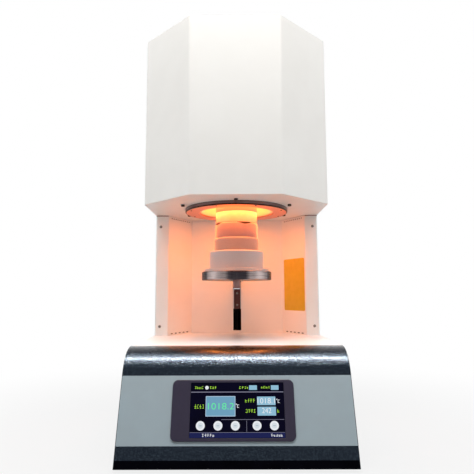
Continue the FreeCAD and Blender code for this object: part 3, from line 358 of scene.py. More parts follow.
def new_material(name, **settings):
    """Material with a Principled BSDF, its constant sockets set by name."""
    made = bpy.data.materials.new(name)
    made.use_nodes = True
    sockets = made.node_tree.nodes["Principled BSDF"].inputs
    feed(made.node_tree, sockets, **settings)
    return made, made.node_tree, sockets


def raise_surface(tree, sockets, height, distance):
    bump = add_node(tree, "ShaderNodeBump", {"Height": height, "Distance": distance, "Strength": 1.0})
    tree.links.new(bump.outputs[0], sockets["Normal"])


def mottle(tree, first, second, patch, grain, rough=(0.3, 0.4)):
    """Outputs of a mottled finish between two colours."""
    return group(
        tree, "mottle", colour=rgba(first), second_colour=rgba(second), patch_size=patch, grain_size=grain,
        rough_low=rough[0], rough_high=rough[1],
    )


def coat(tree, sockets, look, bump):
    """Puts a mottled finish on a shader, with its grain raised."""
    feed(tree, sockets, base_color=look["Colour"], roughness=look["Roughness"])
    raise_surface(tree, sockets, look["Height"], bump)


METAL = {"metallic": 1.0}
# Plain finishes: colour or the setting that gives it, the second colour's share of it, size of the
# patches and of the grain, roughness range, bump, and the shader's other values
FINISHES = {
    "sheet_white": (
        "sheet", 0.965, 0.09, 0.0016, (0.36, 0.44), 0.00006, {"coat_weight": 0.08, "coat_roughness": 0.25}
    ),
    "deck_white": (
        "deck", 0.97, 0.08, 0.0016, (0.30, 0.36), 0.00001, {"coat_weight": 0.1, "coat_roughness": 0.2}
    ),
    "panel_grey": (
        "panel", 0.93, 0.05, 0.0007, (0.42, 0.52), 0.00003, {"coat_weight": 0.1, "coat_roughness": 0.4}
    ),
    "strip_black": ("strip", 1.8, 0.04, 0.0006, (0.4, 0.55), 0.00003, {"specular_ior_level": 0.0}),
    "bezel_plastic": ("bezel", 0.85, 0.03, 0.0005, (0.3, 0.38), 0.00002, {"specular_ior_level": 0.18}),
    "amber_film": ("amber", 0.93, 0.015, 0.0008, (0.38, 0.5), 0.00003, {}),
    "grey_plastic": ((0.10, 0.105, 0.11), 0.8, 0.03, 0.0006, (0.42, 0.52), 0.00003, {}),
    "motor_black": ((0.018, 0.018, 0.020), 1.5, 0.02, 0.0008, (0.38, 0.5), 0.00004, {}),
    "fan_black": ((0.022, 0.022, 0.024), 1.4, 0.03, 0.0005, (0.35, 0.45), 0.00003, {}),
    "switch_black": ((0.020, 0.020, 0.021), 1.4, 0.02, 0.0004, (0.30, 0.42), 0.00003, {}),
    "rocker_black": ((0.015, 0.015, 0.016), 1.6, 0.02, 0.0004, (0.22, 0.32), 0.00002, {}),
    "gland_black": ((0.025, 0.025, 0.026), 1.3, 0.02, 0.0004, (0.34, 0.46), 0.00003, {}),
    "foot_rubber": ((0.020, 0.020, 0.020), 1.5, 0.01, 0.0005, (0.7, 0.85), 0.00006, {}),
    "block_aluminium": ((0.62, 0.63, 0.65), 0.86, 0.03, 0.0004, (0.30, 0.42), 0.00002, METAL),
    "sink_aluminium": ((0.58, 0.59, 0.61), 0.84, 0.03, 0.0005, (0.36, 0.5), 0.00003, METAL),
    "rod_steel": ((0.60, 0.60, 0.60), 0.9, 0.05, 0.0005, (0.14, 0.22), 0.00001, METAL),
    "guard_steel": ((0.66, 0.66, 0.66), 0.88, 0.03, 0.0005, (0.18, 0.28), 0.00001, METAL),
    "screw_steel": ((0.24, 0.21, 0.19), 0.6, 0.004, 0.0003, (0.28, 0.45), 0.00003, METAL),
    "dark_screw": ((0.055, 0.035, 0.030), 0.6, 0.004, 0.0003, (0.3, 0.45), 0.00003, {"metallic": 0.8}),
    # Painted shade: the spine is near black so that the slot in front of it looks dark.
    "spine_black": (
        (0.003, 0.002, 0.002), 1.6, 0.03, 0.0006, (0.5, 0.6), 0.00003, {"specular_ior_level": 0.05}
    ),
    # Painted shadow: colour of the dark strips at the tops of the columns, under the housing floor.
    "seal_brown": ((0.30, 0.11, 0.075), 0.7, 0.02, 0.0005, (0.6, 0.7), 0.00003, {"specular_ior_level": 0.1}),
    "probe_ceramic": ((0.74, 0.70, 0.62), 0.9, 0.02, 0.0006, (0.4, 0.55), 0.00003, {}),
    "clamp_ceramic": ((0.70, 0.68, 0.63), 0.88, 0.02, 0.0006, (0.5, 0.65), 0.00004, {}),
}


def plain_material(name):
    """Material of a plain finish, made the first time that it is asked for."""
    if name not in bpy.data.materials:
        colour, share, patch, grain, rough, bump, settings = FINISHES[name]
        if isinstance(colour, str):
            colour = getattr(bpy.context.scene.furnace_finish, colour)
        second = [min(1.0, part * share) for part in colour]
        tree, sockets = new_material(name, **settings)[1:]
        coat(tree, sockets, mottle(tree, colour, second, patch, grain, rough), bump)
    return bpy.data.materials[name]


def hammer_paint(finish):
    """Dark hammertone: dimpled, half metallic, sparkling where light grazes it."""
    made, tree, sockets = new_material(
        "hammertone", metallic=1.0, coat_weight=1.0, coat_roughness=0.12, coat_ior=1.36
    )
    cells = group(tree, "hammer", cell_size=0.0018, unevenness=0.5)
    colour = blend_colours(tree, cells["Fleck"], finish.hammer_dark, finish.hammer_light)
    feed(
        tree, sockets, base_color=colour, roughness=fit(tree, cells["Height"], 0.0, 1.0, 0.13, 0.20),
        coat_weight=fit(tree, cells["Fleck"], 0.0, 1.0, 0.45, 1.0),
    )
    raise_surface(tree, sockets, cells["Height"], 0.00014)
    tree.links.new(sockets["Normal"].links[0].from_socket, sockets["Coat Normal"])
    return made


def screen_glass():
    """Cover glass over an unlit navy panel."""
    made, tree, sockets = new_material("screen_glass", specular_ior_level=0.03, emission_strength=0.6)
    look = mottle(tree, (0.0004, 0.0003, 0.0040), (0.0008, 0.0006, 0.0070), 0.03, 0.0004, (0.10, 0.16))
    feed(tree, sockets, base_color=look["Colour"], emission_color=look["Colour"], roughness=look["Roughness"])
    return made


def screen_light():
    """Lit picture: the colour of each mark is on its faces, with the panel's fine dot rows over it."""
    made, tree, sockets = new_material(
        "screen_light", emission_strength=0.9, roughness=0.3, specular_ior_level=0.1
    )
    ink = add_node(tree, "ShaderNodeAttribute", attribute_name="ink").outputs["Color"]
    inputs = {"Vector": object_place(tree), "Scale": 160.0}
    rows = add_node(tree, "ShaderNodeTexWave", inputs, bands_direction="X").outputs[0]
    dots = fit(tree, rows, 0.0, 1.0, 0.0, 0.14)
    feed(
        tree, sockets, emission_color=blend_colours(tree, dots, ink, (0.0, 0.0, 0.02)),
        base_color=blend_colours(tree, 0.9, ink, (0.0, 0.0, 0.0)),
    )
    return made


def zinc_sheet():
    """Galvanised steel with its crystal spangle."""
    made, tree, sockets = new_material("zinc_sheet", metallic=0.9)
    crystals = add_node(tree, "ShaderNodeTexVoronoi", {"Vector": object_place(tree), "Scale": 75.0})
    tone = add_node(tree, "ShaderNodeSeparateColor", {0: crystals.outputs["Color"]}).outputs[0]
    feed(
        tree, sockets, base_color=blend_colours(tree, tone, (0.34, 0.35, 0.36), (0.46, 0.47, 0.48)),
        roughness=fit(tree, tone, 0.0, 1.0, 0.36, 0.55),
    )
    raise_surface(tree, sockets, tone, 0.00003)
    return made


def turned_metal(name, rough_low):
    """Metal with fine turning lines; gives its streaks too."""
    made, tree, sockets = new_material(name, metallic=1.0)
    lines = group(tree, "lathe", line_size=0.0007)
    feed(tree, sockets, roughness=fit(tree, lines["Streak"], 0.0, 1.0, rough_low, 0.42))
    raise_surface(tree, sockets, lines["Height"], 0.00004)
    return made, tree, sockets, lines["Streak"]


def turned_steel():
    """Stainless steel with turning lines, and painted reflection round its rim: pale and dark bands, dark at
    the front.
    """
    made, tree, sockets, streak = turned_metal("turned_steel", 0.26)
    # Painted reflection: pale and dark bands round the rim stand in for the room seen in the polished steel,
    # dark at the front.
    reflection_waves = 5.0
    place = object_place(tree)
    x, y = split(tree, place)[:2]
    angle = maths(tree, "MULTIPLY_ADD", maths(tree, "ARCTAN2", y, x), reflection_waves, reflection_waves / 2 * math.pi)
    reflection_wave = maths(tree, "MULTIPLY", maths(tree, "COSINE", angle), -0.16)
    round_place = vector_maths(tree, "NORMALIZE", {0: level_off(tree, place)})[0]
    uneven = maths(tree, "MULTIPLY_ADD", noise(tree, round_place, 3.4, 3.0)[0], 0.5, 0.25)
    marks = fit(tree, maths(tree, "ADD", uneven, reflection_wave), 0.38, 0.62)
    dark = blend_colours(tree, streak, (0.018, 0.014, 0.020), (0.05, 0.042, 0.046))
    pale = blend_colours(tree, streak, (0.20, 0.16, 0.155), (0.34, 0.28, 0.27))
    feed(tree, sockets, base_color=blend_colours(tree, marks, dark, pale))
    return made


def heated_steel():
    """Ring steel browned by heat on its side, with painted shade along the side's top and bottom, and a
    painted orange reflection of the glow on its turned lower face and in its bore.
    """
    made, tree, sockets, streak = turned_metal("heated_steel", 0.28)
    place = object_place(tree)
    facing = add_node(tree, "ShaderNodeNewGeometry").outputs["Normal"]
    down = fit(tree, split(tree, facing)[2], -0.4, -0.8)
    # Painted shade: the side goes near black towards its top and bottom.
    off_middle = maths(tree, "ABSOLUTE", maths(tree, "SUBTRACT", split(tree, place)[2], RING_MIDDLE))
    edge = fit(tree, off_middle, 2.2 * MM, 2.7 * MM)
    browned = blend_colours(tree, streak, (0.10, 0.062, 0.057), (0.25, 0.165, 0.155))
    side = blend_colours(tree, edge, browned, (0.016, 0.006, 0.006))
    # Painted reflection: the orange of the glow on the lower face and in the bore.
    face = blend_colours(tree, streak, (0.74, 0.30, 0.22), (0.86, 0.40, 0.30))
    radius = axis_radius(tree, place)
    within = fit(tree, radius, RING_HIGH.x - 2.0 * MM, RING_HIGH.x - 2.6 * MM)
    bore = fit(tree, radius, 0.085, 0.084)
    glow_reflection_share = maths(tree, "MAXIMUM", maths(tree, "MULTIPLY", down, within), bore)
    feed(tree, sockets, base_color=blend_colours(tree, glow_reflection_share, side, face))
    return made


def light_up(tree, sockets, levels, radii, finish):
    """Emission that runs from dark through orange to yellow with the heat."""
    heat = group(
        tree, "heat", cold_level=levels[0], hot_level=levels[1], cold_radius=radii[0], hot_radius=radii[1]
    )["Heat"]
    ramp = add_node(tree, "ShaderNodeValToRGB", {0: heat})
    stops = ramp.color_ramp.elements
    stops[0].color = (0.0, 0.0, 0.0, 1.0)
    stops[1].color = rgba(finish.glow)
    stops.new(0.45).color = rgba(finish.ember)
    feed(tree, sockets, emission_color=ramp.outputs[0], emission_strength=finish.glow_strength)


BOARD_DARK, BOARD_PALE = (0.31, 0.25, 0.24), (0.45, 0.375, 0.36)
STACK_RADII = (0.2, 0.1)
# Fibre boards: nodes, levels and radii where the glow begins and is full, darkest and palest colour
BOARDS = {
    "hot_insulation": (("throat_ring",), (0.40, 0.47), (0.086, 0.071), BOARD_DARK, BOARD_PALE),
    "chamber_insulation": (
        ("insulation_ring_1", "insulation_ring_2"), (0.40, 0.44), (0.12, 0.084), BOARD_DARK, BOARD_PALE
    ),
    "roof_insulation": (("chamber_roof",), (0.700, 0.684), (0.15, 0.12), BOARD_DARK, BOARD_PALE),
    "stack_insulation": (("stack_middle",), (0.345, 0.600), STACK_RADII, BOARD_DARK, BOARD_PALE),
    # Painted light: the lower board is a paler copy of the same fibre board, and the upper one a darker,
    # pinker copy standing in for the orange light near the mouth.
    "lower_insulation": (
        ("stack_lower",), (0.345, 0.600), STACK_RADII, (0.60, 0.52, 0.515), (0.80, 0.72, 0.71)
    ),
    "upper_insulation": (
        ("stack_upper",), (0.370, 0.680), STACK_RADII, (0.25, 0.16, 0.18), (0.36, 0.24, 0.27)
    ),
    "lip_insulation": (
        ("tray_insulation",), (0.350, 0.520), STACK_RADII, (0.70, 0.60, 0.57), (0.86, 0.77, 0.74)
    ),
}


def insulation_board(name, levels, radii, dark, pale, finish):
    """Fibre board that glows where it is hot."""
    made, tree, sockets = new_material(name, roughness=0.85, sheen_weight=1.0, sheen_roughness=0.3)
    board = group(tree, "fibre", fibre_size=0.0016)
    feed(tree, sockets, base_color=blend_colours(tree, board["Shade"], dark, pale))
    raise_surface(tree, sockets, board["Height"], 0.00025)
    light_up(tree, sockets, levels, radii, finish)
    return made


def crucible_ceramic(finish):
    """Smooth dense ceramic, glowing towards its rim."""
    made, tree, sockets = new_material("crucible_ceramic")
    look = mottle(tree, (0.36, 0.29, 0.27), (0.31, 0.25, 0.235), 0.012, 0.0009, (0.42, 0.56))
    coat(tree, sockets, look, 0.00005)
    light_up(tree, sockets, (0.419, 0.488), (0.10, 0.09), finish)
    return made


def element_glow():
    """Silicide heating loop: bright hot zone, grey cold ends."""
    made, tree, sockets = new_material("element_glow", roughness=0.5, emission_strength=1.4)
    heat = group(tree, "heat", cold_level=0.70, hot_level=0.66, cold_radius=0.2, hot_radius=0.15)["Heat"]
    look = mottle(tree, (0.20, 0.19, 0.18), (0.12, 0.11, 0.10), 0.01, 0.0006)
    glow = blend_colours(tree, heat, (0.0, 0.0, 0.0), (0.75, 0.26, 0.03))
    feed(tree, sockets, base_color=look["Colour"], emission_color=glow)
    raise_surface(tree, sockets, look["Height"], 0.00005)
    return made


def arm_finish():
    """Browned steel of the lift arm, darker down its leg: painted shade where the leg stands in the slot."""
    made, tree, sockets = new_material("arm_steel", metallic=1.0)
    look = mottle(tree, (0.27, 0.15, 0.135), (0.19, 0.10, 0.09), 0.02, 0.0007, (0.34, 0.5))
    level = split(tree, object_place(tree))[2]
    # Painted shade: the leg below the arm's underside is nearly black.
    leg = fit(tree, level, ARM_UNDERSIDE - 0.4 * MM, ARM_UNDERSIDE - 1.2 * MM)
    colour = blend_colours(tree, leg, look["Colour"], (0.075, 0.028, 0.024))
    feed(tree, sockets, base_color=colour, roughness=look["Roughness"])
    raise_surface(tree, sockets, look["Height"], 0.00004)
    return made


def screw_thread():
    """Trapezoidal thread of the lead screw as a raised helix."""
    made, tree, sockets = new_material("screw_thread", metallic=1.0)
    turns_per_metre = 500.0
    low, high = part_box("lead_screw")
    inputs = {"Vector": object_place(tree), "Location": (0.0, -(low.y + high.y) / 2, 0.0)}
    x, y, z = split(tree, add_node(tree, "ShaderNodeMapping", inputs).outputs[0])
    turn = maths(tree, "DIVIDE", maths(tree, "ARCTAN2", y, x), math.tau)
    thread = maths(tree, "FRACT", maths(tree, "MULTIPLY_ADD", z, -turns_per_metre, turn))
    crest = fit(tree, maths(tree, "PINGPONG", thread, 0.5), 0.12, 0.32)
    # Painted shade: the thread is near black so that the slot in front of it looks dark.
    feed(
        tree, sockets, base_color=blend_colours(tree, crest, (0.006, 0.006, 0.006), (0.030, 0.028, 0.027)),
        roughness=fit(tree, crest, 0.0, 1.0, 0.42, 0.22),
    )
    raise_surface(tree, sockets, crest, 0.0006)
    return made


def transformer_iron():
    """Stacked core plates, and tape round the coil on both sides of them."""
    made, tree, sockets = new_material("transformer_iron", roughness=0.5)
    plates_per_metre = 1400.0
    core_half = 22.1 * MM
    low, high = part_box("transformer")
    y = split(tree, object_place(tree))[1]
    plates = maths(tree, "FRACT", maths(tree, "MULTIPLY", y, plates_per_metre))
    edge = fit(tree, maths(tree, "PINGPONG", plates, 0.5), 0.05, 0.25)
    iron = blend_colours(tree, edge, (0.05, 0.05, 0.055), (0.16, 0.165, 0.175))
    reach = maths(tree, "ABSOLUTE", maths(tree, "SUBTRACT", y, (low.y + high.y) / 2))
    outside = fit(tree, reach, core_half - 0.2 * MM, core_half + 0.2 * MM)
    tape = mottle(tree, (0.55, 0.33, 0.05), (0.42, 0.24, 0.03), 0.01, 0.0005)["Colour"]
    feed(tree, sockets, base_color=blend_colours(tree, outside, iron, tape))
    raise_surface(tree, sockets, edge, 0.0001)
    return made


def circuit_board():
    """Green board with copper runs; the parts that stand on it are blue and black."""
    made, tree, sockets = new_material("circuit_board", roughness=0.4)
    low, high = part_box("control_board")
    board_top = low.z + 14.0 * MM
    middle = (low.y + high.y) / 2
    place = object_place(tree)
    y, z = split(tree, place)[1:]
    runs = add_node(tree, "ShaderNodeTexBrick", {"Vector": place, "Scale": 90.0, "Mortar Size": 0.03})
    track = fit(tree, runs.outputs["Fac"], 0.2, 0.8)
    green = blend_colours(tree, track, (0.012, 0.14, 0.05), (0.03, 0.26, 0.10))
    standing = fit(tree, z, board_top - 0.2 * MM, board_top + 0.2 * MM)
    behind = fit(tree, y, middle, middle + 1.0 * MM)
    parts = blend_colours(tree, behind, (0.03, 0.03, 0.035), (0.02, 0.09, 0.32))
    feed(tree, sockets, base_color=blend_colours(tree, standing, green, parts))
    raise_surface(tree, sockets, track, 0.00005)
    return made


def dress(material, *nodes):
    """Puts a material on the slots of CAD nodes."""
    for name in nodes:
        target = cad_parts[name]
        if not target.material_slots:
            target.data.materials.append(material)
        for slot in target.material_slots:
            slot.material = material


def dress_plain(table):
    """Puts plain finishes on CAD nodes, from finish to nodes."""
    for name, nodes in table.items():
        dress(plain_material(name), *nodes)


def add_object(name, data):
    made = bpy.data.objects.new(name, data)
    bpy.context.scene.collection.objects.link(made)
    return made


def new_piece(name, mesh, material, body):
    """Mesh made a piece that rides on a body."""
    piece = add_object(name, mesh)
    if not mesh.materials:
        mesh.materials.append(material)
    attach(piece, body)
    return piece


def solid_piece(name, bm, finish, body):
    """Piece with a plain finish, from a solid that is drawn."""
    return new_piece(name, mesh_from(name, bm), plain_material(finish), body)


def soften(mesh):
    """Smooth shading with crisp creases."""
    mesh.shade_smooth()
    mesh.set_sharp_from_angle(angle=CREASE)


def mesh_from(name, bm):
    mesh = bpy.data.meshes.new(name)
    bmesh.ops.remove_doubles(bm, verts=bm.verts, dist=1e-7)
    bmesh.ops.recalc_face_normals(bm, faces=bm.faces)
    bm.to_mesh(mesh)
    bm.free()
    soften(mesh)
    return mesh


def evaluated_mesh(item):
    """Plain mesh of an object with its modifiers or its text made real."""
    bpy.context.view_layer.update()
    return bpy.data.meshes.new_from_object(item.evaluated_get(bpy.context.evaluated_depsgraph_get()))


def circle_points(radius, count, start=0.0, sweep=360.0):
    """Points round a centre, the angles in degrees."""
    angles = [math.radians(start + sweep * i / count) for i in range(count)]
    return [(radius * math.cos(angle), radius * math.sin(angle)) for angle in angles]


def turned_mesh(name, profile, segments):
    """Closed solid of revolution from (radius, height) points that start and end on the axis."""
    bm = bmesh.new()
    rings = []
    for radius, height in profile:
        points = circle_points(radius, segments) if radius else [(0.0, 0.0)]
        rings.append([bm.verts.new((x, y, height)) for x, y in points])
    for lower, upper in zip(rings, rings[1:]):
        for i in range(segments):
            j = (i + 1) % segments
            places = ((lower, i), (lower, j), (upper, j), (upper, i))
            corners = [ring[k % len(ring)] for ring, k in places]
            face = [corner for k, corner in enumerate(corners) if corner not in corners[:k]]
            if len(face) > 2:
                bm.faces.new(face)
    return mesh_from(name, bm)


def rounded_outline(width, height, corner, steps=8):
    """Corner points of a rounded rectangle, counter-clockwise about its centre."""
    points = []
    for cx, cy, start in ((1, 1, 0), (-1, 1, 90), (-1, -1, 180), (1, -1, 270)):
        for i in range(steps + 1):
            angle = math.radians(start + 90 * i / steps)
            x = cx * (width / 2 - corner) + corner * math.cos(angle)
            y = cy * (height / 2 - corner) + corner * math.sin(angle)
            points.append((x, y))
    return points


def bridge(bm, rings):
    """Faces between rings of as many points each; returns them."""
    faces = []
    for lower, upper in rings:
        for i in range(len(lower)):
            j = (i + 1) % len(lower)
            faces.append(bm.faces.new((lower[i], lower[j], upper[j], upper[i])))
    return faces


def here(x, y, z):
    return (x, y, z)


def raise_outline(bm, points, low, high, move=here):
    """Flat solid from an outline between two heights, each point placed by a function."""
    bottom = [bm.verts.new(move(x, y, low)) for x, y in points]
    top = [bm.verts.new(move(x, y, high)) for x, y in points]
    return [bm.faces.new(bottom[::-1]), bm.faces.new(top), *bridge(bm, [(bottom, top)])]


def box_into(bm, low, high, move=here):
    outline = [(low[0], low[1]), (high[0], low[1]), (high[0], high[1]), (low[0], high[1])]
    raise_outline(bm, outline, low[2], high[2], move)


def cut_recess(name, head, cutter):
    """Object of a head mesh with the cutter's shape taken out."""
    body = add_object(name, head)
    tool = add_object(name + "_tool", cutter)
    cut = body.modifiers.new("recess", "BOOLEAN")
    cut.operation = "DIFFERENCE"
    cut.solver = "EXACT"
    cut.object = tool
    made = evaluated_mesh(body)
    soften(made)
    bpy.data.objects.remove(tool)
    body.modifiers.clear()
    body.data = made
    return body


def pan_head():
    """Pan head of unit radius with a cross recess."""
    profile = [(0, -0.02), (1.0, -0.02), (1.0, 0.2), (0.94, 0.38), (0.76, 0.53), (0.45, 0.61), (0, 0.64)]
    near, far = 0.13, 0.56
    quarter = ((near, -far), (near, -near), (far, -near))
    points = []
    for cosine, sine in ((1, 0), (0, 1), (-1, 0), (0, -1)):
        points += [(cosine * x - sine * y, sine * x + cosine * y) for x, y in quarter]
    bm = bmesh.new()
    raise_outline(bm, points, 0.3, 1.0)
    return cut_recess("pan_head", turned_mesh("pan_head", profile, 20), mesh_from("cross", bm))


def cap_head():
    """Socket cap head of unit radius with a hexagonal recess."""
    head = turned_mesh("cap_head", [(0, -0.02), (1.0, -0.02), (1.0, 0.95), (0.9, 1.05), (0, 1.05)], 20)
    hexagon = turned_mesh("hexagon", [(0, 0.45), (0.52, 0.45), (0.52, 1.5), (0, 1.5)], 6)
    return cut_recess("cap_head", head, hexagon)


def screw_tree():
    """Geometry nodes that set a screw head on every point, facing its own way."""
    tree = bpy.data.node_groups.new("screw_heads", "GeometryNodeTree")
    given = {
        "Geometry": "Geometry", "Head": "Object", "Radius": "Float", "Turn Seed": "Int", "Finish": "Material"
    }
    for label, kind in given.items():
        tree.interface.new_socket(name=label, in_out="INPUT", socket_type="NodeSocket" + kind)
    tree.interface.new_socket(name="Geometry", in_out="OUTPUT", socket_type="NodeSocketGeometry")
    entry = tree.nodes.new("NodeGroupInput").outputs
    facing = add_node(tree, "GeometryNodeInputNamedAttribute", {"Name": "facing"}, data_type="FLOAT_VECTOR")
    aim = add_node(tree, "FunctionNodeAlignRotationToVector", {"Vector": facing.outputs[0]}, axis="Z")
    limits = {2: 0.0, 3: 1.5, "Seed": entry["Turn Seed"]}
    turn = add_node(tree, "FunctionNodeRandomValue", limits, data_type="FLOAT").outputs[1]
    spin = add_node(tree, "FunctionNodeAxisAngleToRotation", {"Axis": (0.0, 0.0, 1.0), "Angle": turn})
    pair = {0: aim.outputs[0], 1: spin.outputs[0]}
    turned = add_node(tree, "FunctionNodeRotateRotation", pair, rotation_space="LOCAL")
    head = add_node(tree, "GeometryNodeObjectInfo", {"Object": entry["Head"]})
    inputs = {
        "Points": entry["Geometry"], "Instance": head.outputs["Geometry"], "Rotation": turned.outputs[0],
        "Scale": entry["Radius"],
    }
    placed = add_node(tree, "GeometryNodeInstanceOnPoints", inputs)
    real = add_node(tree, "GeometryNodeRealizeInstances", {0: placed.outputs[0]})
    inputs = {"Geometry": real.outputs[0], "Material": entry["Finish"]}
    painted = add_node(tree, "GeometryNodeSetMaterial", inputs)
    tree.links.new(painted.outputs[0], tree.nodes.new("NodeGroupOutput").inputs[0])
    return tree


def set_screws(name, head, places, radius, seed, material, body="furnace"):
    """One piece of screw heads at (point, facing) places on one body."""
    mesh = bpy.data.meshes.new(name)
    mesh.from_pydata([point for point, facing in places], [], [])
    facings = mesh.attributes.new("facing", "FLOAT_VECTOR", "POINT")
    for i, (point, facing) in enumerate(places):
        facings.data[i].vector = facing
    carrier = add_object(name + "_points", mesh)
    tree = bpy.data.node_groups.get("screw_heads") or screw_tree()
    layer = carrier.modifiers.new("screws", "NODES")
    layer.node_group = tree
    values = {"Head": head, "Radius": radius, "Turn Seed": seed, "Finish": material}
    for item in tree.interface.items_tree:
        if item.in_out == "INPUT" and item.name in values:
            layer[item.identifier] = values[item.name]
    made = evaluated_mesh(carrier)
    if not made.polygons:
        raise RuntimeError(name + " came out without faces")
    made.name = name
    bpy.data.objects.remove(carrier)
    new_piece(name, made, material, body)


class FURNACE_OT_paint(bpy.types.Operator):
    """Paints the sheet metal, the front cover, its panel and its strip"""

    bl_idname = "furnace.paint"
    bl_label = "Paint the sheet metal"

    def execute(self, context):
        dress_plain({
            "sheet_white": (
                "column_left", "column_right", "alcove_liner", "rear_cover", "housing_shell", "housing_top",
                "housing_floor", "rear_panel",
            ),
            "deck_white": ("base_cabinet",),
            "panel_grey": ("control_panel",),
            "strip_black": ("kick_strip",),
        })
        dress(hammer_paint(context.scene.furnace_finish), "front_cover")
        dress(zinc_sheet(), "base_pan", "chamber_casing")
        return {"FINISHED"}


class FURNACE_OT_chamber(bpy.types.Operator):
    """Finishes the mouth, the insulation, the crucible and the heating elements"""

    bl_idname = "furnace.chamber"
    bl_label = "Light the chamber"

    def execute(self, context):
        finish = context.scene.furnace_finish
        dress(heated_steel(), "mouth_ring")
        dress(turned_steel(), "tray_plate")
        for name, (nodes, *looks) in BOARDS.items():
            dress(insulation_board(name, *looks, finish), *nodes)
        dress(crucible_ceramic(finish), "crucible", "crucible_lid")
        dress(element_glow(), *(f"heating_element_{i}" for i in range(1, 5)))
        dress_plain({"probe_ceramic": ("thermocouple",), "clamp_ceramic": ("element_clamps",)})
        return {"FINISHED"}


class FURNACE_OT_works(bpy.types.Operator):
    """Finishes the lift, the electrics, the fan, the switch and the feet"""

    bl_idname = "furnace.works"
    bl_label = "Finish the works"

    def execute(self, context):
        dress_plain({
            # Painted shade: near black spine for the dark slot.
            "spine_black": ("lift_spine",),
            "block_aluminium": ("lower_block", "upper_block", "carriage", "screw_coupler"),
            "rod_steel": ("guide_rod_left", "guide_rod_right", "motor_shaft"),
            "motor_black": ("lift_motor",),
            "fan_black": ("fan_frame", "fan_rotor"),
            "guard_steel": ("fan_guard",),
            "switch_black": ("switch_frame",),
            "rocker_black": ("switch_rocker",),
            "gland_black": ("cable_gland",),
            "sink_aluminium": ("power_regulator",),
            "grey_plastic": ("display_module",),
            "foot_rubber": ("foot_front_left", "foot_front_right", "foot_rear_left", "foot_rear_right"),
        })
        dress(arm_finish(), "lift_arm")
        dress(screw_thread(), "lead_screw")
        dress(transformer_iron(), "transformer")
        dress(circuit_board(), "control_board")
        return {"FINISHED"}


class FURNACE_OT_screws(bpy.types.Operator):
    """Sets the screws of the columns, the mouth, the lift arm and the covers"""

    bl_idname = "furnace.screws"
    bl_label = "Set the screws"

    def execute(self, context):
        sizes = context.scene.furnace_fasteners
        pan, cap = pan_head(), cap_head()
        steel, dark = plain_material("screw_steel"), plain_material("dark_screw")
        front, back, down = (0.0, -1.0, 0.0), (0.0, 1.0, 0.0), (0.0, 0.0, -1.0)

        def sideways(reach, depths, level):
            return [((side * reach, y, level), (side, 0.0, 0.0)) for side in SIDES for y in depths]

        def upright(facing, places, y, levels):
            return [((x, y, level), facing) for x in places for level in levels]

        def underneath(radius, level, count, start):
            return [((x, y, level), down) for x, y in circle_points(radius, count, start)]

        inset = COLUMN_SIDE - COLUMN_SCREW_INSET
        columns = upright(front, (-inset, inset), COLUMN_FRONT, COLUMN_SCREW_LEVELS)
        set_screws("column_screws", pan, columns, sizes.column_radius, sizes.seed, steel)
        caps = underneath(sizes.cap_circle, FLOOR_LOW, 6, -90.0)
        set_screws("floor_screws", cap, caps, sizes.cap_radius, sizes.seed, dark)
        ring = underneath(sizes.ring_circle, RING_LOW.z, 8, 22.5)
        set_screws("ring_screws", pan, ring, sizes.ring_radius, sizes.seed, dark)
        arm = upright(front, (0.0,), ARM_HIGH.y - LEG_DEPTH, ARM_SCREW_LEVELS)
        set_screws("arm_screws", pan, arm, sizes.pan_radius, sizes.seed, steel, "tray_lift")
        guard_low, guard_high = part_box("fan_guard")
        fan = (guard_low + guard_high) / 2
        reach = FAN_SCREW_REACH
        covers = {
            "rear_panel_screws": upright(back, PANEL_SCREW_PLACES, PANEL_REAR, PANEL_SCREW_LEVELS),
            "rear_cover_screws": upright(back, TOWER_SCREW_PLACES, TOWER_REAR, TOWER_SCREW_LEVELS),
            "cabinet_screws": sideways(CABINET_SIDE, CABINET_SCREW_DEPTHS, CABINET_SCREW_LEVEL),
            "housing_screws": sideways(COLUMN_SIDE, HOUSING_SCREW_DEPTHS, TOP_LEVEL - HOUSING_SCREW_DROP),
            "fan_screws": upright(
                back, (fan.x - reach, fan.x + reach), PANEL_REAR, (fan.z - reach, fan.z + reach)
            ),
        }
        for name, places in covers.items():
            set_screws(name, pan, places, sizes.pan_radius, sizes.seed, steel)
        for head in (pan, cap):
            bpy.data.objects.remove(head)
        return {"FINISHED"}


class FURNACE_OT_arm_edge_highlight(bpy.types.Operator):
    """Fits a bright strip under the lift arm: a painted highlight along its underside"""

    bl_idname = "furnace.arm_strip"
    bl_label = "Fit the arm strip"

    def execute(self, context):
        half = (ARM_HIGH.x - ARM_LOW.x) / 2 - 0.4 * MM
        near, far = ARM_LOW.y + 1.0 * MM, ARM_HIGH.y - LEG_DEPTH - 1.0 * MM
        bm = bmesh.new()
        box_into(bm, (-half, near, ARM_UNDERSIDE - 1.2 * MM), (half, far, ARM_UNDERSIDE))
        # Painted highlight: bright steel strip along the arm's underside.
        solid_piece("arm_strip", bm, "guard_steel", "tray_lift")
        return {"FINISHED"}


def wall_mover(side, along_wall=0.0, level=0.0):
    """Function that places points by an angled wall of the bay: along it, behind it and up."""
    front, back = (Vector((side * x, y, 0.0)) for x, y in (WALL_FRONT, WALL_BACK))
    along = (back - front).normalized()
    behind = Vector((side * along.y, -side * along.x, 0.0))

    def move(x, y, z):
        return front + along * (along_wall + x) + behind * y + Vector((0.0, 0.0, level + z))

    return move


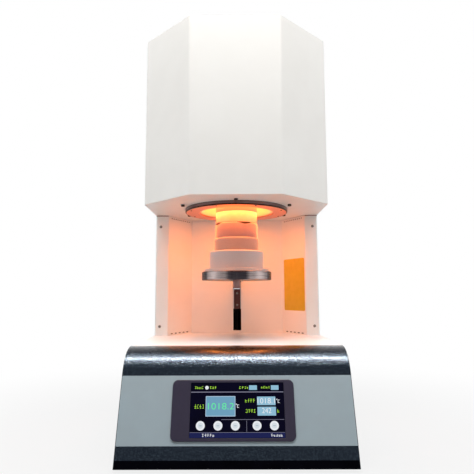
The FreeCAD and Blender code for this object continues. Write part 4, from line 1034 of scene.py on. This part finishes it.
class FURNACE_OT_bay_plate(bpy.types.Operator):
    """Puts the plain amber plate on the right angled wall of the bay"""

    bl_idname = "furnace.bay_plate"
    bl_label = "Fix the bay plate"

    def execute(self, context):
        move = wall_mover(1, 44.0 * MM, 299.2 * MM)
        width, height, corner, thickness = 80.0 * MM, 121.5 * MM, 4.0 * MM, 0.4 * MM
        bm = bmesh.new()
        outline = rounded_outline(width, height, corner)
        raise_outline(bm, outline, 0.0, thickness, lambda x, y, z: move(-x, -z, y))
        solid_piece("bay_plate", bm, "amber_film", "furnace")
        return {"FINISHED"}


class FURNACE_OT_gap_shadows(bpy.types.Operator):
    """Lays thin dark strips on top of the two columns' faces: a painted shadow line under the housing floor
    """

    bl_idname = "furnace.gaskets"
    bl_label = "Lay the column seals"

    def execute(self, context):
        low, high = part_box("column_right")
        for side, name in zip(SIDES, ("seal_left", "seal_right")):
            left, right = sorted((side * (low.x + 0.5 * MM), side * (high.x - 0.5 * MM)))
            bm = bmesh.new()
            # Painted shadow: the strip sits just below the housing floor.
            under, over = FLOOR_LOW - 1.6 * MM, FLOOR_LOW - 0.2 * MM
            box_into(bm, (left, COLUMN_FRONT - 0.5 * MM, under), (right, COLUMN_FRONT, over))
            solid_piece(name, bm, "seal_brown", "furnace")
        return {"FINISHED"}


class FURNACE_OT_vent_shadows(bpy.types.Operator):
    """Fixes dark strips behind the vent rows of the bay's angled walls: painted shade, so that the holes look
    dark
    """

    bl_idname = "furnace.vent_gauze"
    bl_label = "Fix the vent gauze"

    def execute(self, context):
        # Painted shade: dark strips that make the vent holes read as shadow.
        margin, thickness = 6.0 * MM, 0.4 * MM
        for side, name in zip(SIDES, ("gauze_left", "gauze_right")):
            bm = bmesh.new()
            for low, high, gap in VENT_SHADOW_ROWS:
                corners = (margin, gap, low), (WALL_LENGTH - margin, gap + thickness, high)
                box_into(bm, *corners, wall_mover(side))
            solid_piece(name, bm, "dark_screw", "furnace")
        return {"FINISHED"}


def on_slope(x, y, z):
    """Point at a place on the sloping front, from the middle of the glass's outer face."""
    up = Vector((0.0, math.sin(SLOPE), math.cos(SLOPE)))
    out = Vector((0.0, -math.cos(SLOPE), math.sin(SLOPE)))
    return (GLASS_LOW + GLASS_HIGH) / 2 + Vector((x, 0.0, 0.0)) + up * y + out * (z + GLASS_OUT)


class FURNACE_OT_bezel(bpy.types.Operator):
    """Moulds the screen's frame with its round corners and soft edge"""

    bl_idname = "furnace.bezel"
    bl_label = "Mould the screen frame"

    def execute(self, context):
        low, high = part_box("display_bezel")
        width, height, corner = high.x - low.x, 95.6 * MM, 9.0 * MM
        shift = (low.x + high.x) / 2 - (GLASS_LOW.x + GLASS_HIGH.x) / 2
        window = (GLASS_HIGH.x - GLASS_LOW.x + 0.4 * MM, 86.3 * MM)
        back, face, soft = -2.4 * MM, 0.6 * MM, 1.0 * MM
        outlines = [(rounded_outline(width, height, corner), shift, back)]
        for inset_share, rise_share in circle_points(1.0, 5, 0.0, 112.5):
            inset = soft * (1 - inset_share)
            outline = rounded_outline(width - 2 * inset, height - 2 * inset, corner - inset)
            outlines.append((outline, shift, face - soft + soft * rise_share))
        outlines.append((rounded_outline(window[0] + 0.6 * MM, window[1] + 0.6 * MM, 0.8 * MM), 0.0, face))
        for level in (face - 0.3 * MM, back):
            outlines.append((rounded_outline(*window, 0.5 * MM), 0.0, level))
        bm = bmesh.new()
        rings = []
        for outline, across, level in outlines:
            rings.append([bm.verts.new(on_slope(x + across, y, level)) for x, y in outline])
        bridge(bm, zip(rings, rings[1:] + rings[:1]))
        piece = solid_piece("screen_frame", bm, "bezel_plastic", "furnace")
        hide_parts("display_bezel")
        return {"FINISHED"}


FRAME_BLUE = (0.42, 0.58, 0.74)
LIME = (0.42, 0.80, 0.05)
WHITE = (0.85, 0.88, 0.92)
PALE_BLUE = (0.28, 0.52, 0.68)
BOX_BLUE = (0.16, 0.36, 0.52)
DIGIT_GREEN = (0.14, 0.90, 0.36)
RULE_GREY = (0.22, 0.22, 0.30)
NAVY = (0.006, 0.010, 0.075)
KEY_GREY = (0.70, 0.76, 0.80)
ICON_GREY = (0.45, 0.55, 0.62)

# Places on the screen are in millimetres from the middle of the glass
# Rules and boxes: left, right, bottom, top, colour, layer, corner
BARS = (
    (-76.6, 76.6, 27.3, 28.6, RULE_GREY, 0, 0.2),
    (19.7, 32.8, 31.2, 38.6, PALE_BLUE, 0, 0.4),
    (56.0, 68.8, 31.2, 38.6, PALE_BLUE, 0, 0.4),
    (-51.8, -3.1, -10.1, 21.5, FRAME_BLUE, 0, 0.8),
    (-50.7, -4.2, -9.0, 20.4, BOX_BLUE, 1, 0.6),
    (32.6, 62.8, 7.2, 20.6, PALE_BLUE, 0, 0.6),
    (33.0, 63.2, -9.0, 4.6, PALE_BLUE, 0, 0.6),
    (-26.0, 76.2, -15.2, -14.6, RULE_GREY, 0, 0.2),
    (14.9, 15.5, -33.2, -16.4, RULE_GREY, 0, 0.2),
    (-76.7, 76.7, -42.4, -34.2, NAVY, 0, 0.2),
    (-76.7, 76.7, -34.6, -34.1, RULE_GREY, 1, 0.2),
)
# Rows of little marks: left, right, bottom, top, colour, layer
WORDS = (
    (-71.0, -54.5, 33.0, 37.2, LIME, 0),
    (-45.5, -35.0, 33.0, 37.2, LIME, 0),
    (3.0, 18.0, 33.0, 37.0, LIME, 0),
    (39.4, 54.0, 33.6, 37.2, LIME, 0),
    (-70.5, -53.2, 1.9, 9.0, LIME, 0),
    (12.9, 31.0, 11.4, 17.5, LIME, 0),
    (13.4, 31.0, -4.6, 1.3, LIME, 0),
    (65.4, 69.8, -4.6, 0.6, LIME, 0),
    (-57.0, -36.8, -40.8, -36.0, WHITE, 1),
    (53.6, 74.0, -40.8, -36.4, WHITE, 1),
)
# Readings: setting, left, right, bottom, top, colour, layer
READINGS = (
    ("main_value", -48.0, -5.2, 0.6, 10.6, DIGIT_GREEN, 2),
    ("upper_value", 33.4, 62.0, 9.8, 18.0, WHITE, 1),
    ("lower_value", 40.4, 55.4, -5.2, 2.8, WHITE, 1),
)
DEGREE_MARKS = ((-1.6, 3.2), (65.2, 10.6))
KEYS, KEY_LEVEL = (-59.6, -31.2, -3.2, 31.8, 59.8), -24.2


class Picture:
    """Marks on the screen, drawn in millimetres from the middle of the glass."""

    def __init__(self, sheet):
        self.bm = bmesh.new()
        self.ink = self.bm.loops.layers.float_color.new("ink")
        self.sheet = sheet
        self.random = random.Random(5)

    def colour(self, faces, colour):
        for face in faces:
            for loop in face.loops:
                loop[self.ink] = rgba(colour)

    def outline(self, points, colour, layer=0):
        low = layer * self.sheet
        self.colour(raise_outline(self.bm, points, low, low + self.sheet, on_slope), colour)

    def bar(self, x0, x1, y0, y1, colour, layer=0, corner=0.4):
        width, height = (x1 - x0) * MM, (y1 - y0) * MM
        corner = min(corner * MM, width * 0.45, height * 0.45)
        cx, cy = (x0 + x1) / 2 * MM, (y0 + y1) / 2 * MM
        self.outline([(cx + x, cy + y) for x, y in rounded_outline(width, height, corner, 3)], colour, layer)

    def disc(self, x, y, radius, colour, layer=0):
        self.outline([((x + dx) * MM, (y + dy) * MM) for dx, dy in circle_points(radius, 28)], colour, layer)

    def word(self, x0, x1, y0, y1, colour, layer=0):
        """Row of plain little marks made of strokes, in place of words."""
        x = x0
        tall = y1 - y0
        while x < x1 - 1.4:
            right = min(x + self.random.uniform(2.6, 3.6), x1)
            stem = self.random.uniform(x, right - 0.7)
            self.bar(stem, stem + 0.7, y0, y1 - self.random.uniform(0.0, 0.3) * tall, colour, layer, 0.1)
            for level in self.random.sample((0.05, 0.42, 0.8), 2):
                left = self.random.uniform(0.0, 0.35) * (right - x)
                self.bar(x + left, right, y0 + level * tall, y0 + level * tall + 0.7, colour, layer, 0.1)
            x = right + self.random.uniform(0.8, 1.2)

    def number(self, text, x0, x1, y0, y1, colour, layer):
        """Digits set in a box, stretched to fill it."""
        curve = bpy.data.curves.new("digits", "FONT")
        curve.body = text
        curve.offset = -0.005
        carrier = add_object("digits", curve)
        flat = evaluated_mesh(carrier)
        bpy.data.objects.remove(carrier)
        xs = [vertex.co.x for vertex in flat.vertices]
        ys = [vertex.co.y for vertex in flat.vertices]
        sx = (x1 - x0) / (max(xs) - min(xs))
        sy = (y1 - y0) / (max(ys) - min(ys))
        points = [((x0 + (x - min(xs)) * sx) * MM, (y0 + (y - min(ys)) * sy) * MM) for x, y in zip(xs, ys)]
        low = layer * self.sheet
        bottom, top = (
            [self.bm.verts.new(on_slope(x, y, height)) for x, y in points]
            for height in (low, low + self.sheet)
        )
        sides = {}
        faces = []
        for polygon in flat.polygons:
            corners = list(polygon.vertices)
            faces.append(self.bm.faces.new([top[i] for i in corners]))
            faces.append(self.bm.faces.new([bottom[i] for i in reversed(corners)]))
            for a, b in zip(corners, corners[1:] + corners[:1]):
                key = (min(a, b), max(a, b))
                sides[key] = None if key in sides else (a, b)
        for a, b in filter(None, sides.values()):
            faces.append(self.bm.faces.new((bottom[a], bottom[b], top[b], top[a])))
        self.colour(faces, colour)
        bpy.data.meshes.remove(flat)

    def degree_mark(self, x, y):
        """Small ring dot and an open C beside a reading."""
        tall, stroke = 5.0, 0.8
        left, right = x + 1.4, x + 4.4
        self.disc(x, y + tall + 0.6, 0.9, WHITE, 1)
        self.bar(left, left + stroke, y, y + tall, WHITE, 1, 0.2)
        self.bar(left, right, y, y + stroke, WHITE, 1, 0.2)
        self.bar(left, right, y + tall - stroke, y + tall, WHITE, 1, 0.2)

    def key(self, x, y):
        """Round key with a plain dash on it."""
        self.disc(x, y, 7.2, WHITE)
        self.disc(x, y, 4.4, KEY_GREY, 1)
        self.bar(x - 2.2, x + 2.2, y - 0.7, y + 0.7, ICON_GREY, 2, 0.5)

    def mesh(self, name):
        mesh = bpy.data.meshes.new(name)
        self.bm.to_mesh(mesh)
        self.bm.free()
        return mesh


class FURNACE_OT_screen(bpy.types.Operator):
    """Draws the plain readings and round keys on the touch screen"""

    bl_idname = "furnace.screen"
    bl_label = "Light the screen"

    def execute(self, context):
        screen = context.scene.furnace_screen
        picture = Picture(screen.sheet)
        dress(screen_glass(), "display_glass")
        for bar in BARS:
            picture.bar(*bar)
        for word in WORDS:
            picture.word(*word)
        for setting, *place in READINGS:
            picture.number(getattr(screen, setting), *place)
        for place in DEGREE_MARKS:
            picture.degree_mark(*place)
        picture.disc(-50.3, 35.0, 3.0, WHITE)
        for x in KEYS:
            picture.key(x, KEY_LEVEL)
        new_piece("screen_picture", picture.mesh("screen_picture"), screen_light(), "furnace")
        return {"FINISHED"}


MOUTH_LAMP_LEVEL = 0.4492
CHAMBER_LAMP_LEVEL = 0.53
# Large lamps: name, place, what it points at, size, colour and the rays that don't see it
LAMPS = (
    ("key", (0.0, -0.85, 1.9), (0.0, -0.2, 0.4), (2.0, 0.5), (1.0, 1.0, 1.0), "visible_glossy"),
    ("gleam", (0.0, -0.3, 1.74), (0.0, -0.3, 0.0), (1.8, 0.2), (1.0, 0.88, 0.74), "visible_diffuse"),
    ("strip", (0.0, -0.7, 1.75), (0.0, -0.15, 0.6), (1.8, 0.26), (1.0, 1.0, 1.0), "visible_glossy"),
    ("rear", (0.0, 1.7, 1.0), (0.0, 0.24, 0.42), (1.2, 1.2), (1.0, 1.0, 1.0), "visible_glossy"),
    ("side", (-1.3, -0.25, 0.6), (0.0, 0.0, 0.35), (0.5, 0.8), (1.0, 1.0, 1.0), None),
    ("side", (1.3, -0.25, 0.6), (0.0, 0.0, 0.35), (0.5, 0.8), (1.0, 1.0, 1.0), None),
)


def lamp(name, kind, place, target, power, colour, unseen=None, **settings):
    """Lamp that points at a target, left out of one kind of ray."""
    data = bpy.data.lights.new(name, kind)
    data.energy = power
    data.color = colour
    for key, value in settings.items():
        setattr(data, key, value)
    made = add_object(name, data)
    made.location = place
    made.rotation_euler = (Vector(target) - Vector(place)).to_track_quat("-Z", "Y").to_euler()
    if unseen:
        setattr(made, unseen, False)


def seen_directly(tree):
    """One for rays that come straight from the camera, a mirror or glass."""
    path = add_node(tree, "ShaderNodeLightPath").outputs
    seen = maths(tree, "MAXIMUM", path["Is Camera Ray"], path["Is Glossy Ray"])
    return maths(tree, "MAXIMUM", seen, path["Is Transmission Ray"])


def make_room(strength):
    """Even white light; the room itself looks plain white."""
    world = bpy.data.worlds.new("room")
    bpy.context.scene.world = world
    world.use_nodes = True
    tree = world.node_tree
    level = add_node(tree, "ShaderNodeMix", {0: seen_directly(tree), 2: strength, 3: 1.0}, data_type="FLOAT")
    feed(tree, tree.nodes["Background"].inputs, color=(1.0, 1.0, 1.0, 1.0), strength=level.outputs[0])


def make_floor():
    """Wide pale floor that fades into the room's white and keeps the shadow."""
    bm = bmesh.new()
    bmesh.ops.create_circle(bm, cap_ends=True, segments=96, radius=9.0)
    mesh = mesh_from("floor", bm)
    floor = add_object("floor", mesh)
    made, tree, sockets = new_material("floor_white", roughness=0.85, specular_ior_level=0.1)
    feed(tree, sockets, base_color=mottle(tree, (0.36, 0.36, 0.36), (0.34, 0.34, 0.34), 0.5, 0.01)["Colour"])
    reach = vector_maths(tree, "LENGTH", {0: object_place(tree)})["Value"]
    far = fit(tree, reach, 0.15, 1.1, 0.82, 1.0)
    white = add_node(tree, "ShaderNodeEmission", {"Color": (1.0, 1.0, 1.0, 1.0), "Strength": 1.0})
    share = maths(tree, "MULTIPLY", far, seen_directly(tree))
    shader = tree.nodes["Principled BSDF"]
    mixed = add_node(tree, "ShaderNodeMixShader", {0: share, 1: shader.outputs[0], 2: white.outputs[0]})
    tree.links.new(mixed.outputs[0], tree.nodes["Material Output"].inputs["Surface"])
    mesh.materials.append(made)


class FURNACE_OT_stage(bpy.types.Operator):
    """Makes the floor, the lamps, the room and the camera"""

    bl_idname = "furnace.stage"
    bl_label = "Set the stage"

    def execute(self, context):
        scene = context.scene
        stage = scene.furnace_stage
        scene.view_settings.view_transform = "Standard"
        make_room(stage.sky)
        make_floor()
        for name, place, target, size, colour, unseen in LAMPS:
            lamp(
                name, "AREA", place, target, getattr(stage, name), colour, unseen, shape="RECTANGLE",
                size=size[0], size_y=size[1],
            )
        foot = (0.0, 0.0, 0.0)
        lamp(
            "mouth_glow", "AREA", (0.0, 0.0, MOUTH_LAMP_LEVEL), foot, stage.glow, (1.0, 0.23, 0.035),
            "visible_camera", shape="DISK", size=0.146,
        )
        for x, y in circle_points(0.062, 4, 45.0):
            lamp(
                "chamber_glow", "POINT", (x, y, CHAMBER_LAMP_LEVEL), foot, stage.glow * 0.02,
                (1.0, 0.5, 0.12), "visible_camera", shadow_soft_size=0.01,
            )
        data = bpy.data.cameras.new("camera")
        data.lens = stage.camera_lens
        data.sensor_width = 36.0
        camera = add_object("camera", data)
        view = Matrix.Translation(stage.camera_place)
        turns = ((stage.camera_turn, "Z"), (90 + stage.camera_rise, "X"), (stage.camera_roll, "Z"))
        for angle, axis in turns:
            view = view @ Matrix.Rotation(math.radians(angle), 4, axis)
        camera.matrix_world = view
        scene.camera = camera
        return {"FINISHED"}


OPERATORS = (
    FURNACE_OT_stage,
    FURNACE_OT_paint,
    FURNACE_OT_chamber,
    FURNACE_OT_works,
    FURNACE_OT_screws,
    FURNACE_OT_arm_edge_highlight,
    FURNACE_OT_bay_plate,
    FURNACE_OT_gap_shadows,
    FURNACE_OT_vent_shadows,
    FURNACE_OT_bezel,
    FURNACE_OT_screen,
)
SETTINGS = {
    "furnace_finish": FurnaceFinish,
    "furnace_fasteners": FurnaceFasteners,
    "furnace_screen": FurnaceScreen,
    "furnace_stage": FurnaceStage,
}


class FURNACE_PT_panel(bpy.types.Panel):
    """Steps that dress the furnace"""

    bl_label = "Furnace"
    bl_idname = "FURNACE_PT_panel"
    bl_space_type = "VIEW_3D"
    bl_region_type = "UI"
    bl_category = "Furnace"

    def draw(self, context):
        for operator in OPERATORS:
            self.layout.operator(operator.bl_idname)
        for name, settings in SETTINGS.items():
            box = self.layout.box()
            for key in settings.__annotations__:
                box.prop(getattr(context.scene, name), key)


CLASSES = (*SETTINGS.values(), *OPERATORS, FURNACE_PT_panel)


def register():
    for made in CLASSES:
        bpy.utils.register_class(made)
    for name, settings in SETTINGS.items():
        setattr(bpy.types.Scene, name, PointerProperty(type=settings))


def unregister():
    for name in SETTINGS:
        delattr(bpy.types.Scene, name)
    for made in reversed(CLASSES):
        bpy.utils.unregister_class(made)


def main():
    register()
    bpy.ops.furnace.stage()
    bpy.ops.furnace.paint()
    bpy.ops.furnace.chamber()
    bpy.ops.furnace.works()
    bpy.ops.furnace.screws()
    bpy.ops.furnace.arm_strip()
    bpy.ops.furnace.bay_plate()
    bpy.ops.furnace.gaskets()
    bpy.ops.furnace.vent_gauze()
    bpy.ops.furnace.bezel()
    bpy.ops.furnace.screen()


if __name__ == "__main__":
    main()
